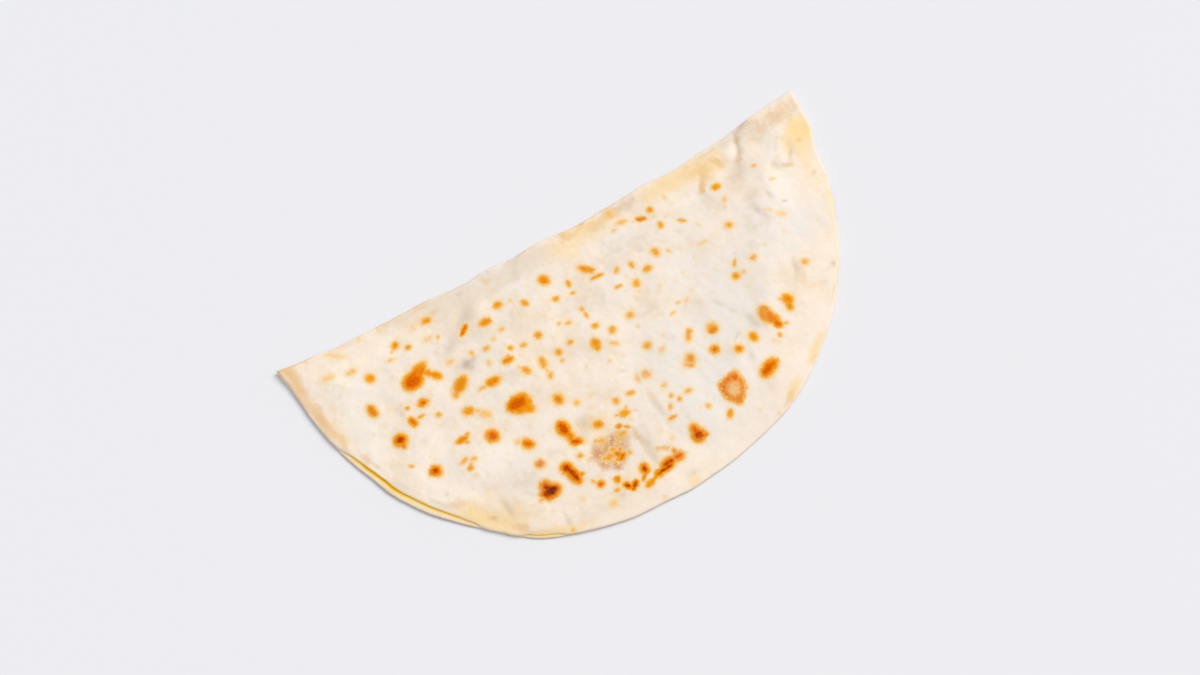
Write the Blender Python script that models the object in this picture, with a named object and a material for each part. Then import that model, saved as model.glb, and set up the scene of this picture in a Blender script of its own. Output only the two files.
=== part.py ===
"""Qutab: a thin round of dough folded in half over a flat filling, pressed shut along its round edge
and griddled on both faces. It lies flat, as one solid.

Frame: metres, +Z up. X runs along the fold, with the fold at +Y and the round edge at -Y. The origin is
the middle of the footprint, on the plane that the qutab rests on.

A place on the qutab is written (along, out): along the fold from its middle, and out from the straight
line between the two tips towards the round edge.
"""

import math

import bmesh
import bpy
import numpy as np
from mathutils import Vector, geometry, noise

MM = 0.001

# The outline. The round edge is a half circle drawn from the fold's middle, made uneven by a few slow
# waves: share n is the part of half the fold that goes with cos(n * angle), from the right tip round.
HALF_FOLD = 110 * MM
EDGE_SHARES = (1.0389, -0.0275, -0.0265, 0.0150, -0.0145, 0.0045, 0.0042, 0.0015, -0.0015)
# How far the cut edge stands in from that curve: (angle from the right tip in degrees, inset in mm).
EDGE_INSETS = (
    (0, -0.3), (7, -0.2), (9, 0.05), (11, 0.9), (13, 1.5), (15, 1.6), (17.5, 1.0), (19.5, 0.4),
    (28, 0.3), (38, 0.3), (47, 0.4), (51, 0.55), (54, 0.9), (56, 1.05), (59, 0.7), (62, 0.5),
    (66, 0.1), (70, -0.15), (74, 0.05), (79, 0.1), (83, -0.2), (88, -0.15), (93, -0.3), (95.5, 0.15),
    (98, 0.5), (101, 0.35), (104, 0.1), (108, 0.3), (112, 0.4), (115, 0.35), (118, 0.15), (121, 0.05),
    (123, 0.35), (125.5, 0.65), (127, 1.15), (129, 1.4), (131, 1.8), (134, 1.75), (136, 1.6),
    (138, 1.3), (140, 1.05), (144, 1.05), (146, 0.85), (148, 0.95), (150, 1.4), (152, 1.55),
    (156, 1.4), (160, 1.15), (164, 0.95), (168, 0.9), (172, 1.1), (176, 1.0), (178.5, 0.3), (180, 0.0),
)
FOLD_SAG = 5.3 * MM  # the fold bows in towards the round edge by this at its middle
FOLD_WAVES = (-0.42 * MM, 0.25 * MM, 0.17 * MM)  # in 2, 3 and 4 half waves along the fold
# How far the fold stands in from that: (along in mm, inset in mm).
FOLD_INSETS = (
    (-110, 0.0), (-106, 0.2), (-103, 0.4), (-98, 0.35), (-90, 0.75), (-80, 0.6), (-70, 0.45),
    (-60, 0.3), (-55, 0.0), (-51, 0.0), (-47, 0.3), (-43, 0.7), (-40, 0.95), (-33, 1.1), (-31, 0.7),
    (-28, 0.15), (-25, 0.1), (-20, 0.4), (-17, 0.8), (-15, 1.0), (-12, 0.6), (-9, 0.3), (-5, 0.0),
    (0, 0.0), (3, 0.3), (6, 0.8), (9, 1.05), (13, 1.1), (17, 1.0), (20, 0.8), (24, 0.45), (27, 0.55),
    (31, 0.35), (35, 0.15), (40, -0.1), (44, 0.0), (47, 0.4), (50, 0.9), (55, 1.15), (59, 1.1),
    (63, 0.8), (68, 0.8), (72, 0.9), (76, 1.1), (80, 0.9), (84, 0.4), (88, 0.0), (92, -0.25),
    (101, -0.1), (105, 0.3), (110, 0.0),
)
RAGGED = 0.10 * MM  # small unevenness of each leaf's cut edge
RAGGED_LENGTH = 9 * MM

# The thickness.
DOUGH = 1.2 * MM  # one leaf of dough
FILLING = 2.3 * MM  # depth of the filling in the middle
RIM = 4.5 * MM  # band of bare dough round the filling
SHOULDER = 22 * MM  # width over which the filling rises to its depth
TUCK_START = 3.5 * MM  # inset at which a lifted or gaping edge starts to come down to the rest
TUCK = 14 * MM  # width over which it does
PINCH = 0.32  # each leaf is rolled thinner by this share at its cut edge
PINCH_WIDTH = 9 * MM  # width over which it comes back to its full thickness

# The round edge, where the two leaves show. How far the seam gapes: (angle in degrees, 0 to 1).
GAPE_KNOTS = (
    (0, 0.0), (20, 0.0), (24, 0.35), (28, 0.30), (31, 0.0), (35, 0.0), (38, 0.15), (42, 0.15), (45, 0.0),
    (115, 0.0), (118, 0.33), (122, 0.33), (125, 0.0), (130, 0.0), (133, 0.50), (135.5, 0.80), (138, 0.95),
    (146, 1.0), (149, 0.98), (152, 0.88), (155, 0.80), (157.5, 0.62), (159.5, 0.30), (162, 0.0), (180, 0.0),
)
WIDE_OPEN = 0.30  # a seam that gapes this far shows two leaves with edges of their own
PRESSED = 0.35  # how much of those edges still shows where it is shut
SET_BACK = 2.2 * MM  # the top leaf stands back from the bottom leaf by this where the seam gapes
GAP = 0.15 * MM  # height of the gap there
LEAST_GAP = 0.05 * MM
GROOVE = 1.6 * MM  # how far the gap reaches in past the top leaf's edge
LIFT = 0.45 * MM  # the edge stands this far off the surface there
LEAST_LIFT = 0.12 * MM
TIP_LENGTH = 14 * MM  # stretch beside each tip where the seam runs out into the fold

# The top's relief: (height, wavelength) of the filling's lumps and the dough's own ripple.
LUMPS = ((0.50 * MM, 34 * MM), (0.34 * MM, 13 * MM))
RIPPLE = (0.14 * MM, 9 * MM)

# Creases pressed into the top leaf: depth, half width, then the places that each runs through.
CREASES = (
    (0.8 * MM, 1.4 * MM, ((89, 2.3), (83, 4.9), (80.3, 8.4), (78.8, 12.5))),
    (0.5 * MM, 1.8 * MM, ((96, 20), (92, 26), (86, 24))),
)

# Blisters that the griddle raised: along, out, half length, half width in mm, tilt in degrees.
BLISTERS = (
    (-70, 29, 5.5, 3.8, -20),
    (-43, 57, 4.5, 3.8, 0),
    (-49, 91, 4.0, 3.5, 0),
    (-40, 89, 2.6, 4.4, -10),
    (-34, 75, 2.6, 5.0, 5),
    (-57, 40, 5.0, 2.6, -15),
    (-57, 62, 2.8, 2.8, 0),
    (-86, 47, 2.6, 2.8, 0),
    (-81, 63, 2.6, 2.4, 0),
    (-7, 103, 8.0, 2.2, -15),
    (6, 99, 2.6, 3.4, 0),
    (27, 91, 4.4, 5.4, 0),
    (42, 91, 4.6, 2.2, -15),
    (52, 75, 3.6, 5.2, 0),
    (62, 73, 2.2, 3.2, 0),
)
BLISTER_HEIGHT = 0.35 * MM

# The mesh.
ROUND_STATIONS = 150  # steps along the round edge
FOLD_STATIONS = 66  # steps along the fold
SPACING = 2.8 * MM  # between points of the top face
TOP_STEPS = (1.6 * MM, 3.6 * MM)  # how far in from the top leaf's edge the last rings lie
REST_RING = 7 * MM  # inset of the flat that the qutab rests on
CORNER_SOFTNESS = 7  # stations on each side over which the inward direction turns at a tip

DOUGH_COLOUR = (0.87, 0.76, 0.60, 1.0)
DOUGH_ROUGHNESS = 0.6


def smooth(t):
    """0 below 0 and 1 above 1, with a smooth step between."""
    t = np.clip(t, 0.0, 1.0)
    return t * t * (3 - 2 * t)


def eased(at, knots):
    """A curve through knots (x, y), level at each of them, at places x."""
    x, y = np.array(knots, float).T
    n = np.clip(np.searchsorted(x, at) - 1, 0, len(x) - 2)
    return y[n] + (y[n + 1] - y[n]) * smooth((at - x[n]) / (x[n + 1] - x[n]))


def wave(along, out, length, layer):
    """Smooth noise from about -1 to 1 at places on the qutab. layer picks one of many patterns."""
    return np.array([2 * noise.noise(Vector((a / length, o / length, layer))) for a, o in zip(along, out)])


# ---------------------------------------------------------------- outline


def edge_places(angle):
    """Places on the round edge, at angles from the right tip (0) to the left tip (pi)."""
    radius = HALF_FOLD * sum(share * np.cos(n * angle) for n, share in enumerate(EDGE_SHARES))
    radius = radius - eased(np.degrees(angle), EDGE_INSETS) * MM
    return np.stack([radius * np.cos(angle), radius * np.sin(angle)], axis=1)


def fold_places(left, right, share):
    """Places on the fold, at shares of the way from the left tip to the right tip."""
    along = left + share * (right - left)
    out = FOLD_SAG * 4 * share * (1 - share)
    for n, tall in enumerate(FOLD_WAVES):
        out += tall * np.sin((n + 2) * np.pi * share)
    return np.stack([along, out + eased(along / MM, FOLD_INSETS) * MM], axis=1)


def evenly(places, count):
    """count places spaced evenly along an open line, without its last one."""
    steps = np.linalg.norm(np.diff(places, axis=0), axis=1)
    run = np.concatenate([[0], np.cumsum(steps)])
    at = np.linspace(0, run[-1], count, endpoint=False)
    return np.stack([np.interp(at, run, places[:, k]) for k in (0, 1)], axis=1)


class Outline:
    """The closed line of the bottom leaf's edge, from the right tip round to the left tip and back
    along the fold, with what varies along it."""

    def __init__(self, round_count, fold_count):
        fine = 4000
        edge = edge_places(np.linspace(0, np.pi, fine))
        fold = fold_places(edge[-1, 0], edge[0, 0], np.linspace(0, 1, fine))
        self.places = np.concatenate([evenly(edge, round_count), evenly(fold, fold_count)])
        count = round_count + fold_count

        ahead, behind = np.roll(self.places, -1, axis=0), np.roll(self.places, 1, axis=0)
        tangent = ahead - behind
        inward = np.stack([-tangent[:, 1], tangent[:, 0]], axis=1)
        turns = range(-CORNER_SOFTNESS, CORNER_SOFTNESS + 1)
        unit = inward / np.linalg.norm(inward, axis=1)[:, None]
        spread = sum(np.roll(unit, turn, axis=0) for turn in turns)
        self.inward = spread / np.linalg.norm(spread, axis=1)[:, None]

        angle = np.arctan2(self.places[:, 1], self.places[:, 0])
        is_round = np.arange(count) < round_count
        run = np.linalg.norm(self.places - self.places[0], axis=1)
        run_left = np.linalg.norm(self.places - self.places[round_count], axis=1)
        self.seam = np.where(is_round, smooth(np.minimum(run, run_left) / TIP_LENGTH), 0.0)
        self.gape = eased(np.degrees(angle), GAPE_KNOTS) * self.seam
        self.lift = LEAST_LIFT + LIFT * self.gape
        self.leafy = self.seam * (PRESSED + (1 - PRESSED) * smooth(self.gape / WIDE_OPEN))
        self.leaf = DOUGH * (1 - PINCH * self.seam)
        along, out = self.places.T
        self.ragged_low = RAGGED * wave(along, out, RAGGED_LENGTH, 3.1) * self.seam
        self.ragged_top = RAGGED * wave(along, out, RAGGED_LENGTH, 7.7) * self.seam

    def nearest(self, places):
        """For each place, its distance in from the outline and the outline's nearest station."""
        start, end = self.places, np.roll(self.places, -1, axis=0)
        step = end - start
        best = np.full(len(places), np.inf)
        station = np.zeros(len(places), int)
        for i in range(len(start)):
            along = np.clip(((places - start[i]) @ step[i]) / (step[i] @ step[i]), 0, 1)
            distance = np.linalg.norm(places - start[i] - along[:, None] * step[i], axis=1)
            nearer = distance < best
            best[nearer], station[nearer] = distance[nearer], i
        return best, station

    def inside(self, places, station):
        """Whether each place lies on the inner side of its nearest station."""
        return ((places - self.places[station]) * self.inward[station]).sum(axis=1) > 0

    def top_height_at(self, places, inset, station):
        return top_height(places, inset, self.lift[station], self.gape[station], self.leaf[station])


# ---------------------------------------------------------------- relief


def crease_depth(places, depth, half_width, through):
    """How deep one crease is pressed in at each place."""
    corners = np.array(through) * MM
    best = np.full(len(places), np.inf)
    for start, end in zip(corners[:-1], corners[1:]):
        step = end - start
        along = np.clip(((places - start) @ step) / (step @ step), 0, 1)
        best = np.minimum(best, np.linalg.norm(places - start - along[:, None] * step, axis=1))
    return depth * np.exp(-((best / half_width) ** 2))


def blister_height(places, along, out, half_length, half_width, tilt):
    """How far one blister is raised at each place."""
    turn = math.radians(tilt)
    offset = places / MM - (along, out)
    u = (offset[:, 0] * math.cos(turn) + offset[:, 1] * math.sin(turn)) / half_length
    v = (offset[:, 1] * math.cos(turn) - offset[:, 0] * math.sin(turn)) / half_width
    return BLISTER_HEIGHT * smooth(1.3 - np.hypot(u, v))


def top_height(places, inset, lift, gape, leaf):
    """Height of the top face: two leaves of dough, the filling between them, and the relief."""
    along, out = places.T
    filled = smooth((inset - RIM) / SHOULDER)
    settled = 1 - smooth((inset - TUCK_START) / TUCK)
    pinched = 1 - smooth((inset - SET_BACK * gape) / PINCH_WIDTH)
    height = 2 * DOUGH + FILLING * filled + (lift + LEAST_GAP + GAP * gape) * settled
    height -= 2 * (DOUGH - leaf) * pinched
    for layer, (tall, length) in enumerate(LUMPS):
        height += tall * filled * wave(along, out, length, layer + 0.5)
    height += RIPPLE[0] * smooth(inset / RIM) * wave(along, out, RIPPLE[1], 5.5)
    for crease in CREASES:
        height -= crease_depth(places, *crease)
    for blister in BLISTERS:
        height += blister_height(places, *blister)
    return height


# ---------------------------------------------------------------- solid


def edge_profiles(outline):
    """The edge's cross-section at every station, from the flat underneath, round the bottom leaf, into
    the gap and over the top leaf: a list of rings, each (inset, height) along the outline."""
    gape, lift, thick, leafy = outline.gape, outline.lift, outline.leaf, outline.leafy
    low, top = outline.ragged_low, outline.ragged_top
    back = SET_BACK * gape + 0.2 * MM + top
    root = back + 0.5 * MM + GROOVE * gape
    gap = LEAST_GAP + GAP * gape
    leaf = lift + thick  # the bottom leaf's upper face
    over = leaf + gap  # the top leaf's lower face
    leaves = (
        (0.45 * MM + low, lift + 0.05 * MM),
        (low, lift + 0.40 * thick),
        (0.45 * MM + low, leaf - 0.08 * MM),
        (back + 0.10 * MM, leaf),
        (root, leaf + 0.35 * gap),
        (back + 0.25 * MM, over),
        (back, over + 0.35 * thick),
        (back + 0.55 * MM, over + 0.82 * thick),
        (back + 1.9 * MM, over + thick),
    )
    # Where the dough is folded the same rings run round a plain nose, half a circle in section, and where
    # it is pressed shut they lie between the two.
    nose = thick + 0.5 * LEAST_LIFT
    turns = np.radians((-78, -52, -30, -12, 0, 12, 34, 62, 88))
    rings = [(REST_RING + 0 * lift, 0 * lift), (0.5 * REST_RING + 0 * lift, 0.15 * lift)]
    for (inset, height), turn in zip(leaves, turns):
        nose_inset = nose * (1 - math.cos(turn))
        nose_height = LEAST_LIFT + nose * (1 + math.sin(turn))
        rings.append((nose_inset + (inset - nose_inset) * leafy, nose_height + (height - nose_height) * leafy))
    return rings


def inner_points(ring, spacing):
    """Points of a staggered grid inside a closed ring of places, clear of the ring itself."""
    low, high = ring.min(axis=0), ring.max(axis=0)
    rows = np.arange(low[1], high[1], spacing * math.sqrt(0.75))
    found = []
    for n, out in enumerate(rows):
        along = np.arange(low[0] + (n % 2) * spacing / 2, high[0], spacing)
        found.append(np.stack([along, np.full(len(along), out)], axis=1))
    return np.concatenate(found)


def triangulate(ring, points):
    """Faces over a closed ring of places and the points inside it, as indices into both in turn."""
    places = [Vector(p) for p in np.concatenate([ring, points])]
    loop = [(i, (i + 1) % len(ring)) for i in range(len(ring))]
    inside_faces = 1
    made = geometry.delaunay_2d_cdt(places, loop, [], inside_faces, 1e-7)
    first = [sources[0] for sources in made[3]]
    return [[first[i] for i in face] for face in made[2]]


def build_mesh(outline):
    """The closed mesh of the qutab, still in (along, out, height)."""
    mesh = bmesh.new()
    count = len(outline.places)

    def ring_of(places, heights):
        return [mesh.verts.new((*place, height)) for place, height in zip(places, heights)]

    rings = []
    for inset, height in edge_profiles(outline):
        rings.append(ring_of(outline.places + inset[:, None] * outline.inward, height))
    for step in TOP_STEPS:
        ring_inset = inset + step
        ring = outline.places + ring_inset[:, None] * outline.inward
        rings.append(ring_of(ring, outline.top_height_at(ring, *outline.nearest(ring))))
    last_inset = ring_inset + 0.55 * SPACING
    inner = inner_points(ring, SPACING)
    inset, station = outline.nearest(inner)
    clear = (inset > last_inset[station]) & outline.inside(inner, station)
    inner, inset, station = inner[clear], inset[clear], station[clear]
    top = rings[-1] + ring_of(inner, outline.top_height_at(inner, inset, station))

    for low, high in zip(rings[:-1], rings[1:]):
        for i in range(count):
            j = (i + 1) % count
            mesh.faces.new((low[i], low[j], high[j], high[i]))
    for face in triangulate(ring, inner):
        mesh.faces.new([top[i] for i in face])
    mesh.faces.new(rings[0])
    bmesh.ops.recalc_face_normals(mesh, faces=mesh.faces)
    return mesh


def dough_material():
    material = bpy.data.materials.new("griddled_dough")
    material.use_nodes = True
    shader = material.node_tree.nodes["Principled BSDF"]
    shader.inputs["Base Color"].default_value = DOUGH_COLOUR
    shader.inputs["Roughness"].default_value = DOUGH_ROUGHNESS
    shader.inputs["Metallic"].default_value = 0.0
    material.diffuse_color = DOUGH_COLOUR
    return material


def build_qutab():
    outline = Outline(ROUND_STATIONS, FOLD_STATIONS)
    mesh = build_mesh(outline)
    # From (along, out) to the frame: out runs towards -Y, and the footprint's middle comes to the origin.
    corners = np.array([v.co for v in mesh.verts])
    middle = (corners.min(axis=0) + corners.max(axis=0)) / 2
    for vertex in mesh.verts:
        along, out, height = vertex.co
        vertex.co = (along - middle[0], middle[1] - out, height)
    bmesh.ops.reverse_faces(mesh, faces=mesh.faces)

    data = bpy.data.meshes.new("qutab")
    mesh.to_mesh(data)
    mesh.free()
    data.materials.append(dough_material())
    data.shade_smooth()
    qutab = bpy.data.objects.new("qutab", data)
    bpy.context.scene.collection.objects.link(qutab)
    return qutab


for old in list(bpy.data.objects):
    bpy.data.objects.remove(old)
build_qutab()
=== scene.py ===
"""The looks of the qutab: the fine surface of its dough, its scorch marks, oil and thin places, a pale
floor, soft light and the camera.

A place on the qutab is written (along, out) in mm, as in the part: along the fold from its middle, and
out from the straight line between the tips towards the round edge. Seen with the fold at the back, along
runs to the right and out runs to the front.
"""

import math

import bpy
import numpy as np
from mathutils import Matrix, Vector, geometry, noise


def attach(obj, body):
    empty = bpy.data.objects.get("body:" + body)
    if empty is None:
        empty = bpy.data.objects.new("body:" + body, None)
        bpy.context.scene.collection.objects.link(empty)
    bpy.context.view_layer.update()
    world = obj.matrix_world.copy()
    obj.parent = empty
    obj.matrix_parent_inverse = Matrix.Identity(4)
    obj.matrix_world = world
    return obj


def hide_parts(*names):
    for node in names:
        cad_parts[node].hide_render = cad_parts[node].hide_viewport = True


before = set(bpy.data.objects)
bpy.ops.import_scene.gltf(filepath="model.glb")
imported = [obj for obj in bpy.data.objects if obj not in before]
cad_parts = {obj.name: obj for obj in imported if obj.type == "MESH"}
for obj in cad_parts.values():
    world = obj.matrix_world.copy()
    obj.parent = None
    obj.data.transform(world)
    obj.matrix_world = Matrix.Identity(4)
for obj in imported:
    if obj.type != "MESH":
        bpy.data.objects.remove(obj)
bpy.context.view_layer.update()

NODE = "qutab"
MM = 0.001

# ---------------------------------------------------------------- driving dimensions, as in the part

HALF_FOLD = 110 * MM
EDGE_SHARES = (1.0389, -0.0275, -0.0265, 0.0150, -0.0145, 0.0045, 0.0042, 0.0015, -0.0015)
EDGE_INSETS = (
    (0, -0.3), (7, -0.2), (9, 0.05), (11, 0.9), (13, 1.5), (15, 1.6), (17.5, 1), (19.5, 0.4), (28, 0.3),
    (38, 0.3), (47, 0.4), (51, 0.55), (54, 0.9), (56, 1.05), (59, 0.7), (62, 0.5), (66, 0.1), (70, -0.15),
    (74, 0.05), (79, 0.1), (83, -0.2), (88, -0.15), (93, -0.3), (95.5, 0.15), (98, 0.5), (101, 0.35),
    (104, 0.1), (108, 0.3), (112, 0.4), (115, 0.35), (118, 0.15), (121, 0.05), (123, 0.35), (125.5, 0.65),
    (127, 1.15), (129, 1.4), (131, 1.8), (134, 1.75), (136, 1.6), (138, 1.3), (140, 1.05), (144, 1.05),
    (146, 0.85), (148, 0.95), (150, 1.4), (152, 1.55), (156, 1.4), (160, 1.15), (164, 0.95), (168, 0.9),
    (172, 1.1), (176, 1), (178.5, 0.3), (180, 0),
)
FOLD_SAG = 5.3 * MM
FOLD_WAVES = (-0.42 * MM, 0.25 * MM, 0.17 * MM)
FOLD_INSETS = (
    (-110, 0), (-106, 0.2), (-103, 0.4), (-98, 0.35), (-90, 0.75), (-80, 0.6), (-70, 0.45), (-60, 0.3),
    (-55, 0), (-51, 0), (-47, 0.3), (-43, 0.7), (-40, 0.95), (-33, 1.1), (-31, 0.7), (-28, 0.15),
    (-25, 0.1), (-20, 0.4), (-17, 0.8), (-15, 1), (-12, 0.6), (-9, 0.3), (-5, 0), (0, 0), (3, 0.3),
    (6, 0.8), (9, 1.05), (13, 1.1), (17, 1), (20, 0.8), (24, 0.45), (27, 0.55), (31, 0.35), (35, 0.15),
    (40, -0.1), (44, 0), (47, 0.4), (50, 0.9), (55, 1.15), (59, 1.1), (63, 0.8), (68, 0.8), (72, 0.9),
    (76, 1.1), (80, 0.9), (84, 0.4), (88, 0), (92, -0.25), (101, -0.1), (105, 0.3), (110, 0),
)
RAGGED = 0.10 * MM
RAGGED_LENGTH = 9 * MM

DOUGH = 1.2 * MM
FILLING = 2.3 * MM
RIM = 4.5 * MM
SHOULDER = 22 * MM
TUCK_START = 3.5 * MM
TUCK = 14 * MM
PINCH = 0.32
PINCH_WIDTH = 9 * MM

GAPE_KNOTS = (
    (0, 0), (20, 0), (24, 0.35), (28, 0.3), (31, 0), (35, 0), (38, 0.15), (42, 0.15), (45, 0), (115, 0),
    (118, 0.33), (122, 0.33), (125, 0), (130, 0), (133, 0.5), (135.5, 0.8), (138, 0.95), (146, 1),
    (149, 0.98), (152, 0.88), (155, 0.8), (157.5, 0.62), (159.5, 0.3), (162, 0), (180, 0),
)
WIDE_OPEN = 0.30
PRESSED = 0.35
SET_BACK = 2.2 * MM
GAP = 0.15 * MM
LEAST_GAP = 0.05 * MM
GROOVE = 1.6 * MM
LIFT = 0.45 * MM
LEAST_LIFT = 0.12 * MM
TIP_LENGTH = 14 * MM

LUMPS = ((0.50 * MM, 34 * MM), (0.34 * MM, 13 * MM))
RIPPLE = (0.14 * MM, 9 * MM)
CREASES = (
    (0.8 * MM, 1.4 * MM, ((89, 2.3), (83, 4.9), (80.3, 8.4), (78.8, 12.5))),
    (0.5 * MM, 1.8 * MM, ((96, 20), (92, 26), (86, 24))),
)
BLISTERS = (
    (-70, 29, 5.5, 3.8, -20), (-43, 57, 4.5, 3.8, 0), (-49, 91, 4, 3.5, 0), (-40, 89, 2.6, 4.4, -10),
    (-34, 75, 2.6, 5, 5), (-57, 40, 5, 2.6, -15), (-57, 62, 2.8, 2.8, 0), (-86, 47, 2.6, 2.8, 0),
    (-81, 63, 2.6, 2.4, 0), (-7, 103, 8, 2.2, -15), (6, 99, 2.6, 3.4, 0), (27, 91, 4.4, 5.4, 0),
    (42, 91, 4.6, 2.2, -15), (52, 75, 3.6, 5.2, 0), (62, 73, 2.2, 3.2, 0),
)
BLISTER_HEIGHT = 0.35 * MM
BLISTER_REACH = 1.3  # where a blister ends, as a share of its half length and width

# ---------------------------------------------------------------- the fine surface's own dimensions

ROUND_STATIONS = 430
FOLD_STATIONS = 270
FINE_STATIONS = 4000  # of the curves that those are spaced out along
CORNER_SOFTNESS = 20  # stations to each side over which the direction inward is evened out
TOP_STEPS = tuple(step * MM for step in (0.6, 1.3, 2.0, 2.8, 3.6))
REST_RING = 7 * MM
# Tan on the bottom leaf's edge: griddle browning, and also a warm tint on its shaded lower side that stands
# in for the brown of the shadow there.
BROWNING_AND_WARM_SHADE = 0.7  # of the bottom leaf's edge
BROWNED_START = 1 * MM  # where it starts to fade, in from the edge
BROWNED_EDGE = 4 * MM  # and over how far
STRIP_OIL = 0.3  # on the strip of the bottom leaf that sticks out
WIDE_SPACING = 0.85 * MM  # between points of the top face
FINE_SPACING = 0.40 * MM  # in and beside the scorch marks
UNDER_SPACING = 1.15 * MM
FINE_MARGIN = 1.4  # how far outside a mark that reaches, as a share of its soft border

# Small relief: (height, wavelength).
GRAIN = ((0.09 * MM, 4.2 * MM), (0.04 * MM, 1.7 * MM))

# Rings of the edge's profile, counted from the underside out, and up over the edge.
BROWNED_RING = 6  # the last on the bottom leaf's edge, tan from the griddle and tinted to warm the shade under it
STRIP_RING = 12  # the last on the bottom leaf's bare strip, at the root of the gap
LEAF_FOOT_RING = 14  # the top leaf's lower corner
LEAF_RING = 16  # the top leaf's edge

# Soft dents of the top leaf that show as shade: along, out, half length, half width, tilt, height. Tilt
# turns the long way from along towards out, in degrees. The rest is in mm.
DENTS = (
    (-11, 94, 6.5, 2.2, 85, -0.18), (-1, 85, 8, 2, 92, -0.09), (40.5, 62, 4, 1.6, 60, -0.08),
    (37, 84, 8, 1.7, 100, -0.22), (33, 75, 4, 1.2, -35, -0.2), (-44, 18, 6, 2.2, -35, -0.22),
    (-54, 24, 6, 2, -30, -0.18), (59.5, 26, 5, 1.6, 75, -0.25), (73, 20, 5, 3, -45, -0.25),
    (71, 37, 4, 2.2, 80, -0.25), (78, 31, 6, 1.6, 95, -0.22), (-82, 36, 6, 2, 80, -0.18),
    (-66, 88, 3, 1.4, 80, -0.25), (-50, 103, 4, 1, 95, -0.22), (45, 74, 5, 2, 80, -0.18),
    (71, 63, 6, 1.6, 115, -0.22), (15, 48, 6, 2.2, 80, -0.15), (-22, 10, 9, 2.5, 20, -0.2),
    (28, 12, 9, 2, 8, -0.22),
)

# ---------------------------------------------------------------- scorch marks

# How far to the right of its row's place every mark and patch lies.
TABLE_SHIFT = (0.35 * MM, 0.0)
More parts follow.
